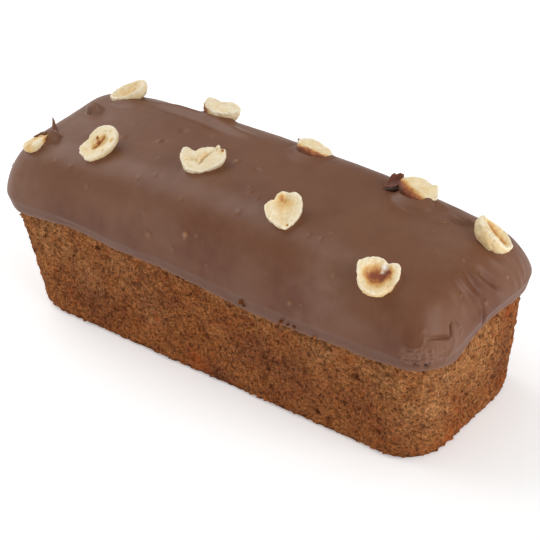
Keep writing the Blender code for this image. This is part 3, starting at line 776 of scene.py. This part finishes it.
def makeNut(nut, number, material):
    grid, level, out = nutGrid(nut, number)
    flat = grid[:, :, :2]
    face = smoothStep(level, 0.02, 0.2)
    ragged = 1.0 + hazelnut["raggedness"] * roughness(grid, 1.6, 40 + number, 2)
    hollow = face * np.clip(1.0 - (out / (nut["hollow"] * 1.15)) ** 2, 0.0, 1.0)
    roast = face * spotValue(flat, nut.get("roast", ())) * ragged + hazelnut["hollowRoast"] * hollow
    if "smear" in nut:
        middle, start, full, strength = nut["smear"]
        along = flat[:, :, 0] * math.cos(math.radians(middle)) / (nut["length"] / 2)
        along += flat[:, :, 1] * math.sin(math.radians(middle)) / (nut["width"] / 2)
        lower = smoothStep(-level, -0.16, 0.1)         # orange at the rim, chocolate brown further down
        roast += ragged * smoothStep(along, start, full) * (0.98 + (strength - 0.98) * lower)
    roast += (1.0 - face) * ragged * spotValue(flat, nut.get("stain", ()))
    choc = spotValue(flat, nut.get("choc", ())) * ragged
    pale = spotValue(flat, nut.get("pale", ()))
    values = {
        "roast": np.clip(roast * (1 - pale), 0.0, 2.0),
        "choc": np.clip(choc * (1 - pale), 0.0, 1.2),
        "pale": np.clip(pale, 0.0, 1.0),
        "wall": 1.0 - face,
        # painted highlight just inside the rim
        "paintedRimHighlight": bell(level - 0.12, 0.1),
    }
    matrix = nutMatrix(nut)
    placed = grid @ matrix[:3, :3].T + matrix[:3, 3]
    return makeSkin(f"hazelnutHalf_{number:02d}", placed, values, material)


def nutMaterial():
    material, tree, shader, place, tones = startMaterial("hazelnutFlesh", hazelnut["tones"])
    colour = layTones(tree, place, tones["base"], tones, hazelnut["layers"])
    uneven = calc(tree, "SUBTRACT", grain(tree, place, *hazelnut["uneven"]), 0.5)
    roast = calc(tree, "ADD", readValue(tree, "roast"), calc(tree, "MULTIPLY", uneven, 0.3))
    choc = calc(tree, "ADD", readValue(tree, "choc"), calc(tree, "MULTIPLY", uneven, 0.4))
    coated = remap(tree, choc, *hazelnut["coated"])
    layers = [(tone, roast, low, high, 1) for tone, low, high in hazelnut["roasting"]]
    layers += [("choc", coated, 0, 1, 1), ("pale", "pale", 0, 1, 1)]
    colour = layTones(tree, place, colour, tones, layers)
    rough = remap(tree, coated, 0.0, 1.0, *hazelnut["dullness"])
    finishMaterial(tree, shader, colour, rough, grain(tree, place, *hazelnut["relief"]), hazelnut)
    return material


fleshMaterial = nutMaterial()
for number, nut in enumerate(nuts, start=1):
    half = makeNut(nut, number, fleshMaterial)
    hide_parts(f"hazelnut_{number:02d}")
    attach(half, "root")
print("hazelnut halves made,", len(nuts))


# the praline chocolate over the top
icing = {
    "crownLevels": 78, "crownSpread": 1.3,             # rings over the crown, closer together lower down
    "inset": 2, "cover": 6.4,                          # how deep its hidden underside lies in the sponge
    "hiddenRings": (1, 0.6, 0.3, 0.12, 0.04),
    # profile of the lip: height above the lower edge, reach from the sponge
    "lip": (
        (0.3, -1.8), (0, -0.5), (-0.12, 0.1), (-0.12, 0.45), (0, 0.75), (0.22, 0.98), (0.5, 1.14),
        (0.85, 1.2), (1.25, 1.23), (1.7, 1.25), (2.2, 1.28), (2.7, 1.32), (3.2, 1.37), (3.7, 1.44),
        (4.25, 1.52), (4.8, 1.6),
    ),
    "sway": ((26, 0.5), (10, 0.2), (4, 0.05)),         # size of the undulations, height
    "bead": 0.16,                                      # unevenness along the lip
    "foldFade": (0.25, 0.15), "creaseFade": (0.2, 0.2),        # length of the fading ends, least height
    # mounds of chocolate: middle, radii
    "mounds": (
        ((-73.8, 4.6, 63.3), (2.9, 2.9, 3.3)), ((-73.4, -16.8, 61.9), (3.2, 3, 4.3)),
        ((-74.4, -18.2, 61.4), (5, 3.6, 2)), ((-66.2, 13.6, 63.4), (7.2, 3.8, 2.4)),
        ((-30.2, 18.4, 66.6), (6.8, 3.4, 1.6)), ((10.8, 14, 67.3), (8, 5, 1.7)),
        ((53.6, 13, 65.4), (7.8, 4.6, 2.6)), ((60.6, 16.8, 63.2), (3.4, 2.8, 2.3)),
    ),
    # soft folds: points, width, height; a height below zero is a groove
    "folds": (
        (((-60.4, 18.2, 64.5), (-46.3, 17.6, 66.1), (-30.4, 16.6, 67.4), (-18.3, 14, 68.1),
          (-6.9, 13.4, 68.3)), 1.8, 1.15),
        (((-58, 14.6, 65.2), (-46, 13.8, 66.6), (-30.4, 12.8, 67.8), (-18.3, 10.8, 68.3)), 1.6, -0.6),
        (((-77, -24, 60.8), (-74.6, -21.8, 61.6), (-72.6, -19.6, 62.2)), 0.8, -0.5),
        (((-76.2, -25.2, 60.4), (-73.6, -22.8, 61.4), (-71.4, -20.2, 62.2)), 0.8, 0.4),
        (((78.3, -5.7, 62.1), (84.3, -6.2, 59.1), (87, -5.4, 54.6), (88.6, -3.6, 49.8)), 1.3, 1.1),
        (((80.5, -0.9, 61.6), (85.4, -2.2, 57.6), (88.2, -1.2, 51.6)), 1.3, -0.85),
        (((79.6, -8.6, 61.7), (84.4, -10.4, 58.8), (87.5, -10.8, 53.8), (88.8, -11.6, 49.6)), 1.6, 0.45),
        (((84, -0.6, 59.3), (86.6, 0.6, 55.6), (88.2, 3.2, 51.8), (89.3, 7.6, 47.2)), 1.1, 1),
        (((84, 2.4, 59.2), (86.9, 4, 55), (88.6, 8, 50)), 1.1, -0.85),
        (((84.2, 8.4, 59), (87, 12, 54.4), (88.9, 14.6, 48.8), (89.9, 15.4, 44.6)), 1.2, 0.68),
        (((85.6, 15.2, 57.5), (87.3, 16.6, 53.8), (89, 17.9, 48.9), (90, 18, 43.6)), 0.9, 0.60),
        (((87.5, 19.4, 53.6), (88.7, 20.4, 49.9), (89.7, 20.2, 45.6)), 0.8, 0.45),
        (((67.2, 15.4, 64), (70.4, 15.3, 63.4), (72.6, 16.2, 62.9), (73.3, 18, 62.6)), 0.7, 1.4),
        (((66.8, 14, 64), (70.4, 13.9, 63.4), (73.4, 14.8, 62.7)), 0.6, -1.4),
        (((86.4, -5.9, 55.8), (88, -4.7, 52.5), (88.9, -3.4, 48.8), (89.6, -3.3, 45.4)), 0.7, 0.83),
        (((89, -2, 48.6), (89.6, -1.9, 45.8), (90, -2.1, 42.6)), 0.7, -1.50),
        (((60, -29.6, 51.6), (66, -29.8, 51), (72, -29.6, 51.4)), 3, 0.45),
        (((53.4, 24.6, 65.4), (60.4, 23.4, 64.4), (68, 22.6, 62.9)), 1.6, 0.52),
    ),
    # sharp folds of the crumpled corner
    "creases": (
        (((81, -29.9, 48.6), (82.3, -29.7, 47.9), (83.7, -29.1, 47.8), (84.8, -28.2, 48),
          (85.3, -27.3, 49.1), (85.4, -26.3, 50.7)), 0.42, 0.88),
        (((85.6, -26.7, 49.5), (87.5, -24.3, 49.3), (88.8, -21.7, 48.4), (89.4, -18.4, 47.3)), 0.4, 0.96),
        (((85.5, -26.5, 50.5), (87.4, -24.1, 50.3), (88.7, -21.4, 49.4), (89.2, -18.5, 48.6)), 0.45, -0.96),
        (((88.1, -16.8, 51.8), (88.7, -17.6, 50.1), (89.4, -17.8, 47.6)), 0.55, -1.76),
        (((87.7, -15.8, 52.4), (88.2, -15.2, 50.9), (88.9, -14, 48.6)), 0.45, 0.96),
        (((89.3, -17.2, 47.5), (89.9, -17.6, 45), (90, -20, 43.6), (89.5, -23, 42.8)), 0.6, 0.56),
    ),
    # the rough, torn patch under them
    "tornLine": ((82.6, -30.3, 45.2), (85.4, -28.6, 45.2), (88.2, -25.6, 44.6), (89.6, -21.6, 44.4)),
    "tornReach": 3.5, "tornDepth": 0.5, "tornLumps": 0.95, "tornLumpSize": 1.25, "tornGrain": 0.2,
    # how the chocolate climbs up the nuts: height, spread, and its depth below the hollow of a nut
    "creep": 0.4, "creepSpread": 0.8, "belowHollow": 1.3,
    # holes at the lip, sunk and painted dark with shade: x, y, z, radius, depth
    "holes": (
        (84.3, -30, 42.6, 0.7, 0.6), (85.1, -29.5, 42.1, 0.5, 0.5), (87, -27.8, 41.7, 0.9, 0.9),
        (87.6, -27, 42.5, 0.5, 0.5), (86, -28.8, 44.6, 0.5, 0.5), (18.4, -31, 40.2, 0.6, 0.5),
    ),
    # bubbles and nut crumbs under the skin: x, y, z, radius, height, how light their tip is
    "bubbles": (
        (-4.9, -28.5, 55.8, 1.15, 0.5, 0.9), (-5, -28.9, 54.8, 0.7, 0.3, 0.5),
        (-0.6, -28.1, 56.8, 0.7, 0.2, 0.4), (-5.6, -0.7, 68.4, 0.95, 0.45, 0.8),
        (-36.4, -4, 67.6, 0.9, 0.35, 0.7), (-34.7, -3.1, 67.7, 0.8, -0.4, 0),
        (-33.5, 5, 67.7, 1.2, -0.4, 0), (-22.5, 8, 68.2, 0.6, 0.3, 0.6),
        (-29.2, -11.9, 67.9, 0.6, 0.3, 0.6), (2.9, -1.3, 68.4, 0.7, -0.3, 0),
        (4.1, -1.6, 68.4, 0.6, -0.3, 0), (7.9, -10.7, 68.4, 0.7, 0.2, 0.4),
        (11.7, -21.1, 66.4, 1, 0.2, 0.3), (42.4, -18.7, 66.2, 0.6, 0.25, 0.5),
        (38.2, -19.3, 66.4, 0.8, 0.2, 0.3), (-19.9, -30, 51.3, 1.1, 0.3, 0.4),
        (-9.5, -30.3, 49.6, 0.8, 0.2, 0.3), (4.4, -30.4, 48.7, 0.4, 0.3, 0.9),
        (81.1, 0.6, 61.1, 0.45, 0.3, 0.9), (86.4, -8.9, 56, 0.45, 0.3, 1),
        (86.1, 3.1, 56.8, 0.5, 0.3, 0.7), (88.5, 12.3, 50.9, 0.6, 0.3, 0.8),
        (88.9, -0.4, 49.2, 0.9, 0.5, 0.5), (38.3, -30.7, 47.5, 1, 0.3, 0.5),
        (42.6, -30.7, 48.4, 0.6, 0.25, 0.5), (52.2, -25.9, 60.2, 0.8, 0.25, 0.5),
        (67.2, 10.8, 64.2, 0.45, 0.3, 0.9), (67.3, 4.6, 64.2, 0.6, 0.2, 0.4),
        (-49.9, -7.3, 66.5, 1.4, 0.55, 0.35), (-52.5, 1.5, 66.2, 1, 0.2, 0.3),
        (-58.3, -24.4, 61.4, 0.8, 0.2, 0.3), (-65.6, -24.2, 60.8, 0.8, 0.2, 0.3),
        (52.1, -27.7, 57, 0.6, 0.2, 0.4), (-31.6, -1.6, 67.8, 0.5, 0.15, 0.3),
        (89, -13.4, 46.4, 0.7, 0.35, 0.4), (73.6, -30.4, 46, 0.6, 0.2, 0.3),
    ),
    # small ones all over, for the sides that the picture doesn't show
    "moreBubbles": 46, "bubbleSize": (0.35, 0.8), "bubbleRise": 0.35, "bubbleLight": (0.1, 0.5), "seed": 23,
    # patches of painted sheen on the coat, then patches of painted shade: x, y, z, radius, strength
    "paintedSheen": (
        (-70, 0, 66, 16, 0.7), (-80, -31, 52, 12, 0.6), (-20, -25, 62, 13, 0.4),
        (48.2, -29, 57, 10, 0.9), (70, 8, 64, 12, 0.4), (-84, 20, 56, 14, 0.5),
    ),
    "paintedShade": (
        (4, -30.5, 50, 15, 0.9), (36, -30.5, 49, 13, 0.9), (77, -31, 46.4, 10, 1),
        (89, 0, 47, 12, 1), (-22.6, -18.1, 66.5, 10, 0.5), (9.6, -14.9, 68.2, 10, 0.3),
        (-57.3, -31, 44.9, 7, 1), (-43.4, -31, 45.9, 7, 1), (-28, -31, 44.8, 8, 0.8),
        (20, 31, 50, 18, 0.5), (-40, 31, 46, 14, 0.6),
    ),
    # drawn-out points and smears, and a dark rod of painted shadow under the flake: line, radii along it,
    # share of the flake's tone and of the painted shade's
    "sweeps": {
        "pointLeft": (((-76.2, -13, 60.6), (-77.4, -11.9, 62.2), (-78.2, -10.8, 63.8), (-80, -9.4, 65.9)),
                      (1.6, 1.3, 0.75, 0.12), 0.3, 0),
        "filmLeft": (((-79.2, -19.6, 63.4), (-77.4, -18.4, 64.6), (-75.2, -17.4, 65.2), (-74.8, -15.2, 64.4),
                      (-76.4, -12.6, 62.4)), (0.35, 0.5, 0.8, 1, 1.2), 0.2, 0),
        "pointBack": (((5.4, 17.6, 66), (4.8, 18.6, 67.8), (4, 19.6, 69.4)), (1.2, 0.9, 0.25), 0.6, 0),
        # a dark rod that paints the shadow under the flake
        "paintedShadowUnderFlake": (((43.4, 13.2, 66.6), (45.4, 14.4, 67.2), (47, 15.4, 67.6), (48.4, 16.6, 67.8)),
                       (0.7, 1.2, 1.2, 0.6), 0, 0.9),
    },
    "sweepSides": 18, "sweepFlatness": 0.8,
    # a torn scrap that stands up and curls over: corners from the left foot round, and its form
    "flakeCorners": ((42.4, 12.9, 66.9), (48.6, 15.2, 69.2), (48.2, 17, 72.2), (44.9, 16, 71.6)),
    "flakeRings": 34, "flakeSides": 56,
    "flakeBulge": 1, "flakeCurl": 0.7, "flakeThickness": 0.8, "flakeRagged": 0.24, "scrapBumps": 0.16,
    # several tones below are painted light: a reflection of the floor along the lip, shade just above it,
    # shade in the holes and under the flake, and sheen and shade on the coat
    "tones": {
        "base": (114, 71, 45), "milky": (126, 85, 60), "deep": (104, 61, 36), "lip": (140, 108, 88),
        "paintedShadeAboveLip": (96, 55, 34), "light": (172, 124, 84), "paintedDeepShade": (42, 22, 14), "torn": (130, 92, 74),
        "flake": (136, 84, 70), "paintedSheen": (134, 100, 82), "paintedShade": (98, 50, 24),
    },
    "layers": (
        ("milky", (22, 3, 0.55, 0.4), 0.38, 0.66, 0.5), ("deep", (7, 3, 0.6), 0.5, 0.72, 0.3),
        # patches of painted sheen and painted shade
        ("paintedSheen", "paintedSheen", 0, 1, 0.8), ("paintedShade", "paintedShade", 0, 1, 0.8),
        # painted shade in a band above the lip, and a painted reflection of the floor along the lip's lower
        # edge
        ("paintedShadeAboveLip", "paintedShadeAboveLip", 0, 1, 0.55), ("lip", "paintedLipReflection", 0, 1, 0.22), ("torn", "torn", 0, 1, 0.5),
        # painted shade in the holes and under the flake
        ("light", "light", 0.08, 0.8, 0.7), ("paintedDeepShade", "paintedDeepShade", 0, 1, 0.9), ("flake", "flake", 0, 1, 0.8),
    ),
    # noise, its low and high value, and what these two become
    "fine": ((1, 3, 0.6), 0.3, 0.7, 0.96, 1.04), "satin": ((9, 3, 0.6), 0.35, 0.7, 0.4, 0.5),
    "relief": (1.6, 3, 0.5), "rubble": (0.6, 2, 0.6), "gloss": 0.38, "bump": (0.2, 0.12),
}


def icingGrid():
    inset = -icing["inset"]
    rings = [crownRing(share, inset, icing["cover"]) for share in icing["hiddenRings"]]
    rings.append(wallRing(loaf["bulgeHeight"], inset))
    hidden = len(rings)
    rings += [wallRing(loaf["edgeHeight"] + above, reach) for above, reach in icing["lip"]]
    fine = np.linspace(0.0, 1.0, 4000)                 # for rings at even distances over the crown
    across = fine * wallSize(loaf["bulgeHeight"])[1]
    rise = (loaf["totalHeight"] - loaf["bulgeHeight"]) * crownArch(fine)
    arc = np.concatenate([[0.0], np.cumsum(np.hypot(np.diff(across), np.diff(rise)))])
    wanted = np.linspace(0.0, 1.0, icing["crownLevels"] + 1)[1:] ** icing["crownSpread"] * arc[-1]
    for share in np.interp(wanted, arc, fine):
        rings.append(crownRing(min(share, 1.0), loaf["bulgeReach"], 0.0))
    grid = np.array(rings)
    nominal = grid[:, :, 2].copy()
    follow = 1.0 - 0.5 * smoothStep(nominal, 41.0, 43.9) - 0.5 * smoothStep(nominal, 43.9, 55.0)
    follow[:hidden] = 0.5
    lift = follow * (edge - loaf["edgeHeight"])        # the coat rises and falls with its lower edge
    slope = wallRing(loaf["edgeHeight"] + 1.0) - wallRing(loaf["edgeHeight"])
    leaning = lift * (1.0 - smoothStep(nominal, 44.0, 50.0))
    grid[:, :, :2] += slope[:, :2] * leaning[:, :, None]
    grid[:, :, 2] += lift
    return grid, hidden


def softMax(first, second, softness):
    # the higher of two surfaces, with a rounded joint
    gap = np.clip(0.5 + 0.5 * (first - second) / softness, 0.0, 1.0)
    return second + (first - second) * gap + softness * gap * (1.0 - gap)


def addRidges(push, grid, ridges, fade, least):
    # folds that fade towards both ends of their line
    for points, width, rise in ridges:
        away, place = alongLine(grid, points)
        taper = np.clip(np.minimum(place, 1 - place) / fade, 0.0, 1.0) * (1 - least) + least
        push += rise * taper * bell(away, width)


def tornPatch(grid, above):
    away, place = alongLine(grid, icing["tornLine"])
    torn = 1.0 - smoothStep(away, 0.6 * icing["tornReach"], icing["tornReach"])
    return torn * smoothStep(1 - place, 0.0, 0.1) * smoothStep(above, -0.4, 0.8)


def allBubbles(grid, hidden):
    random = np.random.default_rng(icing["seed"])
    bubbles = list(icing["bubbles"])
    for _ in range(icing["moreBubbles"]):
        row = random.integers(hidden + 20, len(grid) - 3)
        x, y, z = grid[row, random.integers(0, grid.shape[1])]
        size = random.uniform(*icing["bubbleSize"])
        bubbles.append((x, y, z, size, icing["bubbleRise"] * size, random.uniform(*icing["bubbleLight"])))
    return bubbles


def raiseMounds(shaped, mayMove):
    for (x, y, z), (radiusX, radiusY, radiusZ) in icing["mounds"]:
        across = ((shaped[:, :, 0] - x) / radiusX) ** 2 + ((shaped[:, :, 1] - y) / radiusY) ** 2
        top = z + radiusZ * np.sqrt(np.clip(1.0 - across, 0.0, 1.0)) - 3.0 * np.clip(across - 1.0, 0.0, 4.0)
        near = (across < 4.0) & mayMove
        shaped[:, :, 2] = np.where(near, softMax(shaped[:, :, 2], top, 0.9), shaped[:, :, 2])


def creepUp(shaped, nut, mayMove):
    # the chocolate climbs up round a nut, and keeps below the nut's hollow
    matrix = nutMatrix(nut)
    back = np.linalg.inv(matrix)
    close = (np.linalg.norm(shaped - nut["place"], axis=2) < 13.0) & mayMove
    moved = shaped[close]
    local = moved @ back[:3, :3].T + back[:3, 3]
    x, y, z = local.T
    spread = np.hypot(x / (nut["length"] / 2), y / (nut["width"] / 2))
    spread /= rimShape(nut, np.arctan2(y / nut["width"], x / nut["length"]))[0]
    deep = np.clip(-z / nut["depth"], 0.0, 0.999)
    skin = np.cos(np.arcsin(deep)) ** hazelnut["bluntness"]
    clear = (spread - skin) * 0.25 * (nut["length"] + nut["width"])
    near = (z > -nut["depth"] - 1.0) & (z < 2.5)
    creep = nut.get("creep", icing["creep"]) * bell(np.maximum(clear, 0.0), icing["creepSpread"]) * near
    floor = hazelnut["rimHeight"] - bowlDepth(nut, local[:, :2]) - abs(nut["tilt"][1])
    sink = np.maximum(0.0, z - (floor - icing["belowHollow"])) * (clear < -0.2) * (spread < 0.97)
    moved[:, 2] += creep * (clear > -0.6)
    shaped[close] = moved - sink[:, None] * matrix[:3, 2]


def makeIcing(material):
    grid, hidden = icingGrid()
    shown = np.zeros(grid.shape[:2])
    shown[hidden + 2:] = 1.0
    out = outward(grid)
    out[-1] = (0.0, 0.0, 1.0)
    height = grid[:, :, 2]
    above = height - edge
    push = np.zeros(grid.shape[:2])
    for index, (size, rise) in enumerate(icing["sway"]):
        push += rise * roughness(grid, size, 50 + index, 1) * (0.35 + 0.65 * smoothStep(above, 0.0, 3.0))
    push += icing["bead"] * roughness(grid, 3.0, 54) * bell(above, 1.6)
    addRidges(push, grid, icing["folds"], *icing["foldFade"])
    addRidges(push, grid, icing["creases"], *icing["creaseFade"])
    torn = tornPatch(grid, above)
    lumps = [noise.voronoi(Vector(point) / icing["tornLumpSize"])[0][0] for point in grid.reshape(-1, 3)]
    lumps = icing["tornLumps"] * (0.55 - np.reshape(lumps, above.shape))
    push += torn * (lumps - icing["tornDepth"] + icing["tornGrain"] * roughness(grid, 0.8, 57))
    # the holes are sunk, and their depth is also painted in as shade
    dark = nearSpots(grid, icing["holes"]) * np.clip(1.0 + 0.9 * roughness(grid, 0.7, 58), 0.0, 1.6)
    push -= dark
    bubbles = allBubbles(grid, hidden)
    push += nearSpots(grid, [(x, y, z, 1.5 * radius, rise) for x, y, z, radius, rise, _ in bubbles])
    light = nearSpots(grid, [(x, y, z, radius, tip) for x, y, z, radius, _, tip in bubbles if tip > 0])
    shaped = grid + out * (push * shown)[:, :, None]
    raiseMounds(shaped, (shown > 0) & (height > 55.0))
    for nut in nuts:
        creepUp(shaped, nut, shown > 0)
    values = {
        "light": np.clip(light, 0.0, 1.0),
        # painted shade in the holes
        "paintedDeepShade": np.clip(dark, 0.0, 1.0),
        "torn": np.clip(torn, 0.0, 1.0),
        # painted reflection of the floor along the lip's lower edge
        "paintedLipReflection": bell(above - 0.3, 0.6),
        # painted shade in a band just above the lip
        "paintedShadeAboveLip": bell(above - 2.8, 2.0),
        "flake": np.zeros(grid.shape[:2]),
        # patches of painted sheen and painted shade on the coat
        "paintedSheen": patchValue(grid, icing["paintedSheen"], 70),
        "paintedShade": patchValue(grid, icing["paintedShade"], 71),
    }
    return makeSkin("pralineCoat", shaped, values, material)


def closeScrap(rings, first, last):
    # shuts a tube of rings with a point at each end
    sides = len(rings[0])
    return np.concatenate([[np.tile(first, (sides, 1))], rings, [np.tile(last, (sides, 1))]])


def finishScrap(name, grid, bumps, flake, paintedDeepShade, material):
    grid[1:-1] += (icing["scrapBumps"] * bumps)[1:-1, :, None] * outward(grid)[1:-1]
    even = np.ones(grid.shape[:2])
    return makeSkin(name, grid, {"paintedDeepShade": paintedDeepShade * even, "flake": flake * even}, material)


def makeSweep(name, line, radii, flake, paintedDeepShade, material):
    # a closed rod along a bent line
    line = smoothLine(line, 6)
    thick = np.interp(np.linspace(0.0, 1.0, len(line)), np.linspace(0.0, 1.0, len(radii)), radii)
    ways = np.gradient(line, axis=0)
    ways /= np.linalg.norm(ways, axis=1, keepdims=True)
    angle = np.linspace(0.0, 2 * math.pi, icing["sweepSides"], endpoint=False)[:, None]
    rings = []
    for middle, way, radius in zip(line, ways, thick):
        side = np.cross(way, (0.3, 0.2, 0.93))
        side /= np.linalg.norm(side)
        top = np.cross(side, way)
        rings.append(middle + radius * (np.cos(angle) * side + icing["sweepFlatness"] * np.sin(angle) * top))
    grid = closeScrap(rings, line[0], line[-1])
    return finishScrap(name, grid, roughness(grid, 1.1, 60), flake, paintedDeepShade, material)


def makeFlake(name, material):
    corners = np.array(icing["flakeCorners"], float)
    facing = np.cross(corners[1] - corners[0], corners[3] - corners[0])
    facing /= np.linalg.norm(facing)
    angle = np.linspace(0.0, 2 * math.pi, icing["flakeSides"], endpoint=False)
    up = 0.5 - 0.5 * np.sign(np.cos(angle)) * np.abs(np.cos(angle)) ** 0.6
    rings = []
    for along in np.linspace(0.0, 1.0, icing["flakeRings"]):
        low = corners[0] + along * (corners[1] - corners[0])
        high = corners[3] + along * (corners[2] - corners[3])
        notch = 0.05 * math.sin(9.0 * along + 2.4) + 0.03 * math.sin(23.0 * along)
        share = up * (1.0 + notch * up)
        bend = icing["flakeBulge"] * math.sin(along * math.pi) * np.sin(share * math.pi * 0.8)
        bend -= icing["flakeCurl"] * share ** 3
        thick = 0.5 * icing["flakeThickness"] * np.sign(np.sin(angle)) * np.abs(np.sin(angle)) ** 0.5
        thick *= 0.45 + 0.55 * min(1.0, 9.0 * min(along, 1.0 - along) + 0.2)
        rings.append(low + share[:, None] * (high - low) - (bend + thick)[:, None] * facing)
    grid = closeScrap(rings, rings[0].mean(axis=0), rings[-1].mean(axis=0))
    for axis in range(3):
        grid[1:-1, :, axis] += icing["flakeRagged"] * roughness(grid, 1.5, 61 + axis, 2)[1:-1]
    return finishScrap(name, grid, roughness(grid, 0.55, 66, 2), 1.0, 0.0, material)


def icingMaterial():
    material, tree, shader, place, tones = startMaterial("pralineChocolate", icing["tones"])
    colour = layTones(tree, place, tones["base"], tones, icing["layers"])
    colour = blendColour(tree, 1.0, colour, speckle(tree, place, *icing["fine"]), "MULTIPLY")
    rubble = calc(tree, "MULTIPLY", readValue(tree, "torn"), grain(tree, place, *icing["rubble"]))
    relief = calc(tree, "ADD", grain(tree, place, *icing["relief"]), rubble)
    finishMaterial(tree, shader, colour, speckle(tree, place, *icing["satin"]), relief, icing)
    return material


chocolate = icingMaterial()
icingPiece = makeIcing(chocolate)
scraps = [makeSweep(name, *sweep, chocolate) for name, sweep in icing["sweeps"].items()]
joinInto(icingPiece, scraps + [makeFlake("curledFlake", chocolate)])
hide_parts("icing")
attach(icingPiece, "root")
print("praline coat made,", len(icingPiece.data.polygons), "faces")


# the floor, the light and the camera
studio = {
    "floorTone": (250, 250, 250), "floorSize": 6, "floorGlow": 0.3,
    "sky": ((0, 0.66), (0.2, 0.46), (0.55, 0.46), (1, 0.56)),          # how high, how bright
    "lights": {                                                        # place, size, power
        "keyLight": ((-0.78, -0.02, 0.74), 1.1, 5.6),
        "fillLight": ((0.9, -0.05, 0.38), 0.8, 4.3),
    },
    "aim": (0, 0, 0.04),                                               # what the lights point at
    # the camera: focal length, place in millimetres, and how it is turned
    "lens": 134.63, "eye": (369.03, -409.30, 405.71),
    "turn": ((0.7764, -0.3102, 0.5486), (0.6261, 0.4792, -0.6151), (-0.0721, 0.8211, 0.5663)),
}


def makeFloor():
    bpy.ops.mesh.primitive_plane_add(size=studio["floorSize"])
    floor = bpy.context.object
    floor.name = "paleFloor"
    material, _, shader = newMaterial("paleFloor")
    settings = {"Base Color": linear(studio["floorTone"]), "Roughness": 0.9, "Specular IOR Level": 0.1,
                "Emission Color": linear(studio["floorTone"]), "Emission Strength": studio["floorGlow"]}
    for label, value in settings.items():
        shader.inputs[label].default_value = value
    floor.data.materials.append(material)


def makeWorld():
    world = bpy.data.worlds.new("softStudio")
    scene.world = world
    world.use_nodes = True
    tree = world.node_tree
    way = put(tree, "ShaderNodeTexCoord").outputs["Generated"]
    height = put(tree, "ShaderNodeSeparateXYZ", {0: way}).outputs["Z"]
    ramp = put(tree, "ShaderNodeValToRGB", {0: height})
    stops = ramp.color_ramp.elements
    stops.remove(stops[1])
    for place, value in studio["sky"]:
        stop = stops[0] if place == 0 else stops.new(place)
        stop.color = (value, value, value, 1.0)
    tree.links.new(ramp.outputs["Color"], tree.nodes["Background"].inputs["Color"])


def makeLight(name, place, size, power):
    lamp = bpy.data.lights.new(name, "AREA")
    lamp.shape = "DISK"
    lamp.size = size
    lamp.energy = power
    item = bpy.data.objects.new(name, lamp)
    item.location = place
    aim = Vector(studio["aim"]) - Vector(place)
    item.rotation_euler = aim.to_track_quat("-Z", "Y").to_euler()
    scene.collection.objects.link(item)


def makeCamera():
    data = bpy.data.cameras.new("photoAngle")
    data.sensor_width = 36.0
    data.lens = studio["lens"]
    data.clip_start = 0.01
    camera = bpy.data.objects.new("photoAngle", data)
    turn = Matrix(studio["turn"]).to_4x4()
    camera.matrix_world = Matrix.Translation(Vector(studio["eye"]) * mm) @ turn
    scene.collection.objects.link(camera)
    scene.camera = camera


makeFloor()
makeWorld()
for name, light in studio["lights"].items():
    makeLight(name, *light)
makeCamera()
scene.view_settings.view_transform = "Standard"
print("floor, light and camera ready")
